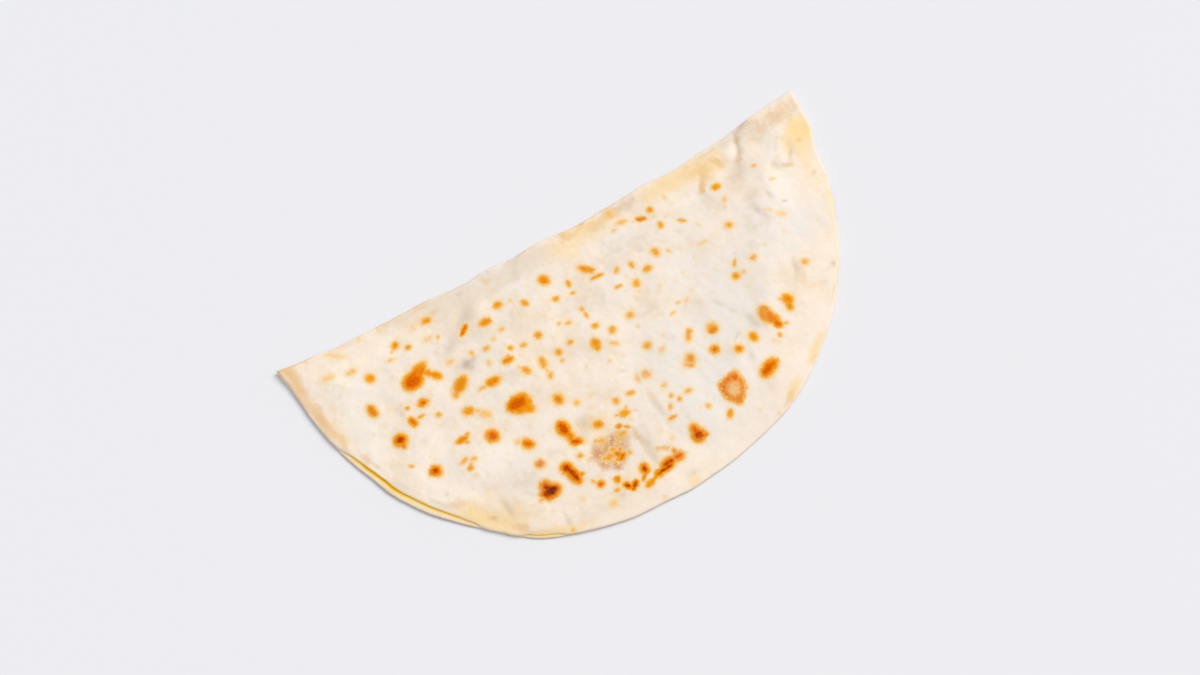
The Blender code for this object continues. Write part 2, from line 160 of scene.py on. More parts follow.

# Each row: along, out, half length, half width, tilt, heat. Places were read from the photo.
# Heat runs from 0.1, a pale stain, through 0.5, golden, and 0.7, deep orange, to 1, near black.
MARKS = (
    # Left third, fold side.
    (-96.5, 12.4, 2.9, 1.9, 5, 0.3), (-88.3, 14.8, 2.2, 1.6, 0, 0.38), (-83.8, 20.8, 2, 1.8, 90, 0.6),
    (-83.8, 20.7, 1.2, 1, 90, 0.66), (-69.8, 13.9, 1.9, 1.4, -35, 0.58), (-69.5, 13.6, 1, 0.9, 0, 0.75),
    (-71.8, 15.3, 1.2, 0.7, -40, 0.38), (-73.8, 18.2, 1.8, 1.1, 10, 0.34), (-66.1, 17.1, 1.2, 1.1, 0, 0.62),
    (-90, 6.2, 4.2, 1.5, 38, 0.26), (-79.8, 4.6, 1.7, 1.2, 90, 0.25), (-60, 9.6, 2.2, 1.6, 0, 0.15),
    (-55.2, 11.2, 1.9, 1.4, 10, 0.62), (-55.4, 13.2, 1.2, 0.7, 20, 0.22), (-58.5, 18, 2.6, 1.6, 0, 0.28),
    (-54.9, 19.4, 1.2, 0.7, -50, 0.44), (-56.2, 21.3, 1, 0.7, -50, 0.17), (-45.6, 21.9, 2.8, 1, -38, 0.8),
    (-37.3, 23.3, 2.5, 1.7, 5, 0.66), (-30.1, 19.5, 1.7, 1.5, 0, 0.64), (-25.3, 20.6, 1.1, 0.9, 90, 0.32),
    (-21.4, 24.5, 1.8, 1.2, 80, 0.58), (-42.3, 24, 1, 1, 0, 0.13), (-71.1, 29.8, 4.4, 3.4, -12, 0.75),
    (-67.6, 27.6, 4.1, 2.7, -30, 0.67), (-65.6, 26, 2.3, 1.7, -20, 0.54), (-65, 29.6, 2, 1.6, 60, 0.62),
    (-62.9, 32, 2.5, 1.5, 50, 0.68), (-62.6, 31.8, 1.2, 0.9, 40, 0.76), (-71.2, 30.4, 2.9, 1.9, -10, 0.82),
    (-70.6, 28.2, 2.6, 1.4, -20, 0.79), (-66.4, 28.4, 1.6, 1, -30, 0.72), (-89.2, 32.3, 2.7, 1.6, 85, 0.71),
    (-83.5, 35, 1.7, 1.3, -20, 0.19), (-88.2, 39.3, 1.3, 1.2, 90, 0.17), (-77.9, 37.7, 0.95, 0.9, 0, 0.56),
    (-72.1, 38.7, 2.2, 1.7, -5, 0.67), (-72.1, 38.8, 1.3, 0.9, 0, 0.8), (-80.1, 40.7, 0.7, 0.6, 0, 0.32),
    (-78.8, 43.3, 2.2, 1.4, 80, 0.8), (-75.3, 42.9, 1.7, 0.8, 0, 0.5), (-69.5, 45.6, 1.3, 1.2, 30, 0.5),
    (-86, 46.9, 2.6, 2.4, 0, 0.83), (-86.2, 48.8, 1.9, 1.2, 85, 0.7), (-86, 46.8, 1.5, 1.2, 0, 0.92),
    (-67.5, 53, 1.5, 1.2, 0, 0.13), (-89.8, 54, 2, 1.1, 70, 0.13), (-56.1, 30.2, 2, 1.5, 0, 0.33),
    (-47.7, 31.4, 1.5, 1.1, 80, 0.38), (-42.4, 32.7, 1.5, 1.2, -10, 0.47), (-38.4, 30.9, 1.2, 1.1, 0, 0.31),
    (-34, 29.2, 1.3, 1.1, 0, 0.43), (-24.8, 28.3, 1.3, 1.2, 60, 0.18), (-44.4, 38, 1.4, 1.2, 90, 0.33),
    (-34.9, 37.2, 1.1, 1, 30, 0.6), (-30.2, 38.6, 1.4, 1, 15, 0.5), (-23.7, 38, 1.6, 1.4, 0, 0.6),
    (-38, 40.8, 2.2, 1.3, 5, 0.72), (-37.2, 39.6, 1, 0.8, 0, 0.5), (-32.8, 41.6, 0.9, 0.8, 0, 0.19),
    (-57.2, 39.8, 4, 2.5, -35, 0.6), (-60.2, 42, 2.2, 1.6, -50, 0.5), (-57.5, 40.2, 2.2, 1.2, -35, 0.64),
    (-46.8, 45, 3, 1.7, 3, 0.74), (-51, 45.2, 2.6, 1.1, 0, 0.38), (-34.3, 47.5, 2.1, 1.5, 65, 0.57),
    (-35.7, 45.4, 1.2, 0.9, 50, 0.36), (-27.6, 48, 2.8, 1.6, 103, 0.52), (-27.9, 51.2, 1.4, 0.9, 95, 0.36),
    (-27.8, 53.6, 1.7, 1.3, 120, 0.47), (-59.8, 50, 2.5, 2.1, 15, 0.49), (-59.6, 50.2, 1.4, 1.2, 0, 0.57),
    (-57, 51.6, 1.8, 1.3, 40, 0.35), (-55.2, 54.2, 2.9, 2, 42, 0.33),
    # Left third, round side.
    (-87.5, 57.3, 1.3, 0.8, 40, 0.43), (-81.1, 63.3, 2.4, 2.2, 30, 0.77), (-80.9, 63.2, 1.3, 1.1, 0, 0.89),
    (-67.2, 58.3, 2.6, 1.2, 0, 0.71), (-64.9, 57.6, 1.5, 1, -20, 0.5), (-66.2, 59.9, 1.2, 0.8, 30, 0.5),
    (-72.2, 60.3, 1.2, 1, 0, 0.16), (-70.6, 65.6, 2.2, 1.2, -15, 0.4), (-67.2, 66.7, 1.7, 1.2, 10, 0.41),
    (-68.9, 67.8, 1.3, 1, -40, 0.36), (-69.9, 69, 1.3, 1.1, 0, 0.58), (-69.6, 72.2, 1.4, 1.2, 0, 0.22),
    (-43.4, 56.9, 4.3, 3.3, 0, 0.76), (-41.4, 56.3, 2.8, 2.7, 0, 0.74), (-41, 59.6, 2.9, 2.3, 60, 0.66),
    (-43.4, 59.3, 3, 1.9, 22, 0.68), (-40.3, 58, 2, 2.4, 90, 0.7), (-43.4, 56.8, 3.4, 2.1, 5, 0.83),
    (-57.3, 62.7, 2.7, 2.6, 90, 0.72), (-56.7, 62.8, 1.9, 1.6, 90, 0.84), (-48, 71.7, 2.8, 2.1, 50, 0.65),
    (-47.8, 71.7, 1.8, 1.3, 50, 0.76), (-50.3, 69.4, 1.8, 1.4, 30, 0.35), (-30, 62.8, 2.4, 2.1, 80, 0.58),
    (-30, 62.9, 1.4, 1.1, 80, 0.68), (-25, 67.3, 1.3, 1.3, 0, 0.46), (-34.2, 73.3, 3.4, 2.5, 90, 0.78),
    (-34.3, 73.5, 2.8, 1.8, 90, 0.86), (-33.6, 77.2, 2.2, 1.6, 90, 0.78), (-32.8, 80, 2.5, 1.7, 28, 0.81),
    (-33.3, 79.6, 1.7, 1.1, 28, 0.88), (-48.2, 80.7, 2.1, 1.9, 0, 0.53), (-48.2, 80.6, 1.2, 1, 0, 0.65),
    (-22.8, 78.4, 1.9, 1.5, 25, 0.7), (-23.9, 74.6, 0.7, 0.6, 0, 0.3), (-50.1, 91.2, 4, 2.6, 2, 0.87),
    (-50.6, 89, 2.5, 2.2, 90, 0.85), (-53.8, 92, 1.7, 1.1, -10, 0.44), (-49.9, 90.8, 3.2, 2.2, 10, 0.94),
    (-49.5, 90.8, 1.8, 1.2, 0, 0.98), (-40.9, 86.8, 2.3, 2.2, 0, 0.86), (-39.9, 90.2, 3.8, 2, 80, 0.87),
    (-40.3, 88.9, 3.9, 1.8, 76, 0.92), (-37.6, 91.4, 1.3, 0.9, 0, 0.68), (-34.4, 85.4, 1.4, 1.2, 0, 0.5),
    (-33.4, 97.8, 1.4, 1.25, 20, 0.83), (-33.4, 97.8, 0.8, 0.7, 20, 0.88), (-35, 96, 1.6, 0.9, 45, 0.4),
    (-41.5, 99.1, 1.7, 1.3, 0, 0.24), (-32.9, 106, 2.1, 1.7, 0, 0.32), (-66.5, 74.5, 1, 0.8, 0, 0.1),
    # Low middle.
    (-27.5, 99.2, 1.45, 1.3, 90, 0.75), (-29.5, 102.6, 1.3, 0.9, 0, 0.48), (-25.4, 103.1, 1.6, 1.1, 55, 1),
    (-22.9, 104, 1.7, 1.1, -32, 1), (-24.1, 105.1, 1, 0.8, 0, 0.9), (-17.1, 101, 2.1, 1.6, 100, 0.88),
    (-17, 101, 1.3, 1, 90, 0.97), (-18.9, 103.5, 1.7, 0.8, -38, 0.64), (-18.1, 106.4, 2.1, 1.1, -15, 0.7),
    (-15.6, 105.6, 1.8, 0.9, -15, 0.6), (-13.4, 104.9, 1.9, 1.3, 0, 0.89),
    (-8.7, 103.4, 3.1, 1.8, -4, 0.85), (-10.4, 104.7, 3.2, 1.1, -2, 0.95),
    (-8.6, 103.2, 2.5, 1.5, -5, 0.91), (-4.4, 103.1, 2.5, 1.7, 5, 0.75), (-4.6, 100.9, 1.4, 1.1, 90, 0.6),
    (-7, 98.1, 2.4, 1, 25, 0.34), (-9, 97, 1.2, 1, 0, 0.32), (-2.6, 96.3, 1.3, 1, 0, 0.26),
    (-5, 92.2, 0.9, 0.8, 0, 0.22), (6, 100.2, 2.7, 2.5, 0, 0.82), (5.9, 97.9, 2.3, 1.7, 90, 0.82),
    (6, 99.8, 2.2, 1.8, 60, 0.9), (8, 101.2, 1.2, 1.2, 0, 0.82), (1.2, 90, 2.1, 1, 0, 0.46),
    (2.8, 86.2, 1.6, 1.1, -50, 0.41), (7.1, 85.3, 1.1, 1.1, 0, 0.49), (5.2, 82.7, 1.1, 1.1, 0, 0.47),
    (11.4, 84.3, 1.8, 1.2, 5, 0.44), (14.7, 92.8, 1.5, 1.2, 20, 0.42), (19.9, 99.1, 2, 1.2, -45, 0.58),
    (-17, 83, 1.3, 1, 0, 0.67), (-14.6, 84.7, 1.5, 0.8, 40, 0.5), (-17.2, 86, 1.9, 1.4, 0, 0.56),
    (-12.5, 79.8, 1.9, 1.5, 20, 0.64), (-15, 79, 1.3, 0.6, 10, 0.42), (-11, 78.2, 1.1, 0.8, -60, 0.45),
    (-12, 82.4, 1.7, 0.9, 90, 0.25),
    # Middle.
    (-10.6, 19.8, 2.4, 2, 80, 0.69), (-3.7, 25.9, 1.7, 1.1, 100, 0.54), (4.8, 24.3, 3.4, 1.6, 47, 0.62),
    (6.1, 25.9, 1.6, 1.3, 0, 0.58), (3.6, 22.8, 1.3, 1.1, 0, 0.55), (-10.9, 28.8, 1.4, 1.2, 0, 0.6),
    (-4.4, 30.1, 1.4, 0.9, 0, 0.43), (-14.9, 38, 0.95, 0.9, 0, 0.42), (-11.9, 39.5, 1.5, 1.1, 0, 0.42),
    (-4.9, 37.4, 1.2, 1, 90, 0.47), (-4.7, 40.1, 1.5, 0.9, 90, 0.48), (-20.7, 47.4, 1.5, 1.3, 90, 0.57),
    (-21.1, 50.8, 1.05, 0.95, 0, 0.44), (-15.3, 46.3, 1.3, 1.1, 0, 0.54), (-4.2, 45.6, 1.4, 1.3, 0, 0.56),
    (-7.6, 51.6, 2.1, 1.8, 90, 0.66), (-7.8, 53.1, 1.5, 1.3, 90, 0.62), (0.3, 50.2, 1.8, 1.4, -35, 0.54),
    (-1.9, 54.9, 2, 1.1, 40, 0.38), (6.5, 29.1, 2.8, 0.95, 4, 0.56), (6.2, 27.4, 1.2, 0.8, 90, 0.33),
    (14, 30.7, 1.8, 1.1, -40, 0.47), (16.5, 29.8, 1, 0.6, 0, 0.2), (19.8, 31.6, 1.6, 1.2, 90, 0.49),
    (15.7, 34.6, 0.8, 0.7, 0, 0.22), (11.2, 36.6, 1.9, 0.9, 0, 0.47), (24, 35.9, 1.9, 1.4, 0, 0.59),
    (17.4, 38.9, 1.9, 1.5, 110, 0.52), (16.5, 41.6, 1.1, 0.7, 100, 0.25), (14.3, 43.7, 1.3, 1, -50, 0.2),
    (8.9, 48.3, 1.9, 1.6, -10, 0.47), (9, 53.4, 1.1, 0.9, 80, 0.26), (17.3, 53.7, 2.2, 1, 15, 0.14),
    (12.6, 25.2, 2, 1.3, 110, 0.11), (-14.7, 57, 1.6, 0.8, -50, 0.22), (-22, 55, 1.1, 0.9, 0, 0.15),
    (-20.7, 58.3, 0.9, 0.7, 0, 0.12), (-6.7, 59.9, 0.9, 0.8, 0, 0.31), (-3.5, 59.3, 0.9, 0.8, 0, 0.12),
    (-1.3, 60.7, 0.9, 0.9, 0, 0.19), (3.3, 57.1, 0.8, 0.6, 0, 0.12), (8, 61.7, 1.8, 1.5, 0, 0.52),
    (14.8, 61.2, 1.3, 1, -30, 0.18), (11.7, 65.8, 2, 1.4, -15, 0.29), (-18.8, 67.3, 1.7, 1.1, 5, 0.21),
    (23, 66, 3, 1.5, -57, 0.46), (24, 64.7, 1.5, 1.4, 0, 0.52), (-12.6, 74, 1.5, 1.3, 90, 0.52),
    (-6.6, 74.2, 1.8, 1.1, 12, 0.51), (-16.6, 73.6, 0.9, 0.8, 0, 0.19), (2, 70.9, 2.3, 2.1, 50, 0.37),
    (-1.4, 70.5, 2.1, 1.8, 90, 0.3), (18.6, 74.2, 2.7, 2.5, -60, 0.42), (16.4, 75.3, 2, 1.6, 0, 0.38),
    (17.8, 76.4, 1.7, 1.2, 0, 0.5), (18.9, 74, 1.3, 1, -60, 0.56), (5.2, 77.9, 1.5, 1.2, 0, 0.36),
    (3, 79.6, 1.4, 0.7, -35, 0.18), (-0.5, 79.5, 1.1, 0.8, 0, 0.25), (20, 79.4, 1.1, 0.9, 0, 0.12),
    # Right third.
    (23.8, 9, 2.2, 1.8, 100, 0.34), (26.3, 14.3, 2.4, 1.4, 10, 0.38), (21.9, 15.8, 1.2, 0.9, 0, 0.34),
    (32.8, 16.9, 2.1, 1.1, 28, 0.73), (32.6, 16.9, 1.2, 0.9, 20, 0.78), (30.2, 16.4, 1, 0.6, 10, 0.26),
    (37.7, 15.5, 1.4, 1.2, 80, 0.6), (37, 18.4, 0.8, 0.6, 120, 0.22), (40.8, 20.8, 1, 0.7, 110, 0.2),
    (37.5, 23.2, 1.8, 1.3, 100, 0.54), (45.2, 25.8, 1.9, 0.9, 42, 0.46), (58.5, 19.4, 0.8, 0.7, 0, 0.4),
    (63.4, 20.5, 1.7, 1.3, 0, 0.65), (63, 26.9, 1.6, 1.1, -60, 0.34), (61.6, 29.1, 1.5, 0.9, -60, 0.22),
    (80, 20.5, 1.2, 1, 0, 0.4), (81, 18.3, 1, 0.8, -60, 0.17), (30, 31.7, 2.1, 1.6, 80, 0.52),
    (34.3, 33.8, 1.3, 1.1, 50, 0.33), (34.3, 29.5, 0.9, 0.7, 30, 0.16), (29.2, 27.6, 1, 0.8, 0, 0.15),
    (49.3, 30.4, 1.4, 0.8, 75, 0.21), (57, 30.5, 1.3, 1, 0, 0.12), (58.8, 36.6, 1.9, 1.7, 30, 0.44),
    (59, 36.8, 0.9, 0.9, 0, 0.53), (45.9, 37.6, 1.9, 1, 5, 0.24), (47.6, 37.6, 1.1, 0.7, 10, 0.3),
    (34.6, 44.1, 0.9, 0.8, 0, 0.2), (24.2, 44.4, 1.2, 1, 0, 0.22), (22.3, 45.6, 1, 0.7, 0, 0.15),
    (52.3, 50.7, 1.9, 0.9, -50, 0.44), (59.3, 52.4, 1.7, 1.4, -15, 0.44), (33, 51.7, 1.6, 0.9, -20, 0.19),
    (26.5, 53.1, 1.1, 0.8, 0, 0.38), (29.8, 53.8, 1.9, 0.9, -42, 0.27), (22.7, 55.8, 1.5, 0.8, -15, 0.37),
    (50, 55.3, 1.6, 1.4, 0, 0.62), (53.1, 55.4, 1.1, 1, 0, 0.38), (52.7, 61, 1.5, 1.2, 110, 0.13),
    (82.4, 28.8, 1.3, 0.8, 10, 0.24), (83.4, 29.1, 0.6, 0.5, 0, 0.36), (77.7, 42.6, 2.4, 1.5, 25, 0.3),
    (74.6, 39.3, 1.9, 1, 35, 0.22), (75.3, 62.9, 1.9, 1.5, 12, 0.44), (98.5, 33.4, 0.8, 0.6, 50, 0.16),
    (92.5, 48.3, 1, 0.9, 90, 0.12), (31.9, 68, 2.7, 2.6, 40, 0.43), (31.6, 69, 1.9, 1.4, 0, 0.67),
    (33, 66.6, 1.5, 1.4, 0, 0.36), (28.2, 75.6, 2.1, 1.9, 0, 0.6), (28.2, 75.5, 1.2, 1, 0, 0.73),
    (35.7, 80, 1.9, 1.8, 0, 0.6), (35.7, 80, 1.1, 1, 0, 0.7), (42.8, 78.6, 2.1, 1.7, 90, 0.62),
    (42.9, 78.8, 1.2, 1, 90, 0.68), (51.4, 73.9, 4.2, 3, 85, 0.51), (52.8, 76.2, 3, 2.2, 66, 0.68),
    (53.3, 78.9, 1.9, 1.4, 30, 0.86), (49.6, 73.8, 1.6, 1.2, 90, 0.56), (52.2, 71.4, 1.6, 1.2, 60, 0.6),
    (55.9, 79.9, 1.5, 0.8, 15, 0.42), (51.6, 82.7, 1.2, 0.9, 100, 0.5), (61.6, 72.4, 2.5, 2.2, 60, 0.66),
    (60.8, 74.9, 2, 1.4, 100, 0.68), (61.9, 73, 1.6, 1.2, 100, 0.74), (49.3, 84, 2.2, 1.4, 30, 0.22),
    (41.4, 91.4, 4.5, 2.5, -20, 0.74), (39.4, 92.4, 2.2, 1.6, -15, 0.76), (41, 91.4, 2.2, 1.1, -20, 0.82),
    (45, 90.5, 1.6, 1.2, 0, 0.62),
    # Bits that join or edge the marks above.
    (-50.2, 106.8, 1.1, 1, 60, 0.44), (18.3, 100.2, 1.2, 0.8, 0, 0.3), (-53.2, 12.2, 0.8, 0.6, 0, 0.3),
    (-3.9, 103.2, 1.6, 1, 0, 0.84), (59.3, 71.3, 1.2, 1, 60, 0.4), (44.8, 13.8, 1.4, 1.1, 80, 0.24),
)

BORDER = 0.8  # a mark's soft border, as a share of its half width
BORDER_RANGE = (0.5, 1.2)  # and its least and most, in mm
MARK_REACH = 8  # how far from its middle a mark is worked out, in mm
NO_MARK = {"scorch_depth": -4.0, "scorch_heat": 0.3}  # what shows where no mark is near

# How marks meet. A depth in a mark is a share of its border: 0 on its outline, and more further in.
MEETING = 0.9  # the difference in depth over which one mark's heat turns into another's
CORE_DEPTH = 0.3  # how deep in a mark a hotter one shows through it
CORE_START = -0.6  # the depth in the hotter one at which it starts to show
CORE_RISE = 1.5  # and over which it comes up to its full heat

# The large angular mark: a hot band runs inside its border, round a lighter, mottled middle.
RING_CORNERS = ((30.5, 85.8), (21.4, 87.6), (21.2, 93.9), (25.1, 98.5), (31.0, 93.5))
RING_CORNER_SOFTNESS = 0.9
RING_BAND = 1.5
RING_HEAT = 0.77
RING_MIDDLE_HEAT = 0.35
RING_MOTTLE = 0.17
RING_MOTTLE_SHARES = (1.3, 0.3)  # of that, in the band and in the middle
RING_MOTTLE_LENGTH = 0.8 * MM
RING_KNOTS = (
    (28.6, 88.6, 1.3, 0.88), (22.4, 89.4, 1.4, 0.84), (25.3, 96.7, 1.5, 0.88), (25.6, 88, 1.2, 0.8),
)

# ---------------------------------------------------------------- soft patches of colour, some of them painted light and shade

# Each row: along, out, half length, half width, tilt, strength.
# Paler patches: partly bare dough, and partly painted light that lifts the shade on slopes facing away from
# the key, most of all on the left.
BLEACHED_AND_LIT = (
    (-93, 28, 18, 7, 95, 1), (-82, 60, 14, 8, 112, 0.6), (-97, 50, 9, 4, 107, 0.8),
    (-78, 77, 9, 4, 47, 0.7), (-20, 40, 8, 7, 0, 0.5), (-62, 70, 12, 9, 0, 0.5), (-75, 14, 9, 6, 0, 0.5),
    (84, 34, 8, 12, 0, 0.5), (-6, 66, 8, 7, 0, 0.35), (-14, 60, 9, 8, 0, 0.45), (5, 108, 18, 5, 0, 0.3),
    (76, 11, 2, 4, 0, 0.5), (52, 20, 8, 4, 0, 0.4),
)
COOLED = (
    (20, 90, 20, 20, 0, 1), (30, 68, 26, 12, 0, 0.9), (52, 52, 18, 10, 0, 0.6), (84, 48, 8, 12, 95, 0.8),
    (14, 30, 10, 7, 0, 0.4), (-30, 9, 20, 6, 0, 0.7), (24, 20, 8, 5, 0, 0.6), (-16, 18, 12, 6, 0, 0.5),
    (74, 42, 12, 12, 0, 0.5), (36, 42, 11, 9, 0, 0.4), (-86, 22, 9, 9, 0, 0.4), (-52, 76, 10, 8, 0, 0.4),
)
# Warm grey-brown patches: partly the darker dough over the filling, and partly painted shade in the dents,
# creases and wrinkles of the top leaf and along the fold.
DUSKY_AND_SHADED = (
    (-60, 6, 16, 3.5, 2, 0.5), (-38, 11, 26, 6, 4, 0.45), (-46, 22, 12, 7, 20, 0.55),
    (-42, 16.5, 5, 2, -45, 0.6), (-50.5, 24.5, 6, 1.4, -32, 0.6), (-52, 36, 8, 5, 0, 0.35),
    (-28, 28, 10, 6, 0, 0.2), (-10, 9, 14, 5, 5, 0.45), (0, 36, 8, 6, 0, 0.35), (13, 26, 8, 6, 0, 0.4),
    (28, 25, 9, 5, 20, 0.34), (70, 20.5, 5, 3, -30, 0.3), (58, 25.5, 6, 2.6, 75, 0.62),
    (-80.5, 38.5, 5, 1.6, -70, 0.45), (-85, 43, 2, 1.2, 60, 0.35), (-68, 50, 9, 5, 0, 0.3),
    (-40, 47, 6, 4, 20, 0.4), (-80, 52, 6, 5, 0, 0.22), (-26, 75, 5, 4.2, 60, 0.5),
    (-29, 79, 2.6, 3.4, 0, 0.5), (-38, 80, 3, 2, 0, 0.35), (-12.5, 92, 6, 2, 85, 0.58),
    (-12, 97.5, 3.5, 1.6, 95, 0.6), (-1, 81, 6, 1.8, 92, 0.55), (-55, 84, 8, 5, 30, 0.4),
    (-66, 88, 3, 1.5, 85, 0.7), (-62, 93, 7, 4, 30, 0.35), (-45, 103, 8, 4, 10, 0.25),
    (-28, 103, 9, 5, 0, 0.52), (94, 7, 15, 7, 8, 0.36), (-48, 106, 8, 3, 12, 0.34),
    (46.5, 73.5, 5.5, 1.6, 85, 0.5), (71, 63, 5.5, 1.8, 110, 0.5), (62, 48, 4, 2.5, 60, 0.4),
    (66, 42, 3, 2.5, 0, 0.3), (11, 50, 3, 8, 100, 0.3), (34, 57, 6, 4, 30, 0.3), (70, 33, 3, 7, 170, 0.35),
    (88, 10, 6, 6, 0, 0.3), (87, 24.5, 1.8, 2.8, 0, 0.6), (-86, 4, 9, 2.2, 3, 0.35),
    (16, 62, 5, 4, 0, 0.25),
)
OILY = (
    (50, 10, 9, 3.6, 2, 0.8), (62, 10.5, 9, 4.6, 8, 0.75), (40, 10, 4, 3.2, 0, 0.5),
    (24, 10, 5, 3.5, 0, 0.45), (10, 10, 9, 3, 5, 0.35), (68, 11, 5, 5, 60, 0.5), (2, 14, 8, 5, 30, 0.42),
    (16, 14, 9, 3, 10, 0.22), (102.8, 16.5, 6.4, 5, -28, 1), (103.5, 17, 4.6, 3.8, -40, 1),
    (96, 19, 4.5, 1.6, -33, 0.5), (93, 40, 18, 7, 103, 0.12), (98, 28, 13, 3.4, 103, 0.26),
    (-76.5, 85.5, 9, 3.6, 50, 0.9), (-69, 94, 4.5, 2.6, 45, 0.6), (-62, 91, 8, 5, 40, 0.32),
    (-70, 81, 6, 5, 0, 0.28), (-60, 100, 8, 5, 35, 0.25), (-100, 30, 10, 5, 80, 0.18),
    (-92, 8, 12, 4, 5, 0.2), (-25, 88, 10, 9, 0, 0.45), (-22, 76, 17, 6, 0, 0.3), (-25, 101, 9, 4, 0, 0.36),
    (-72, 6, 8, 2.5, 2, 0.3), (3, 111, 16, 4, 0, 0.2), (72, 70, 9, 6, -45, 0.22),
)
TANNED = (
    (98.5, 6.5, 8, 4.5, 0, 0.22), (-107.5, 9, 8, 2.3, 92, 0.8), (-106.6, 26, 12, 2, 97, 0.5),
    (-104.4, 40, 8, 1.4, 101, 0.34), (-99.5, 46.5, 4, 1.6, 115, 0.34), (-108.5, 2, 4, 2.5, 60, 0.7),
    (-55.5, 11, 3.4, 2.6, 0, 0.52), (-61.5, 10.5, 2.8, 2.4, 0, 0.45), (-51, 9.5, 2.4, 1.4, 0, 0.36),
    (-66, 5.4, 11, 1.7, 2, 0.28), (-54, 5.2, 4, 1.7, 0, 0.34), (-29, 9, 2.8, 2.4, 0, 0.4),
    (6, 9, 5, 1.9, 0, 0.42), (17, 10, 5, 2.4, 8, 0.46), (24, 9, 1.9, 2.8, 90, 1),
    (30.5, 9.3, 4.6, 2.3, 0, 0.36), (24.5, 14.6, 3.8, 1.5, 5, 0.42), (60, 10, 7, 3.5, 10, 0.24),
    (64, 13, 5, 4, 50, 0.3), (69.5, 12.3, 4, 1.3, 65, 0.6), (59.5, 17, 4, 1.4, 130, 0.95),
    (80.3, 8, 4, 1.1, 115, 0.4), (77, 14.5, 3, 1.4, 125, 0.42), (100, 6, 11, 5.5, 8, 0.3),
    (88, 9, 7, 5, 0, 0.2), (95, 22.5, 4.5, 1, -49, 0.44), (90.5, 26, 2.6, 1.1, 20, 0.52),
    (101, 19.5, 2.2, 1.2, 0, 0.45), (-72, 89, 3.5, 1.6, 50, 0.45), (-65, 97, 4.5, 2.2, 40, 0.5),
    (-79, 77.5, 3, 1.6, 60, 0.42), (-82, 77, 3, 1.3, 60, 0.4), (-13, 91, 5, 1.4, 90, 0.35),
    (-28, 76, 3, 3, 0, 0.34), (45, 14, 1.6, 1.6, 0, 0.36),
)
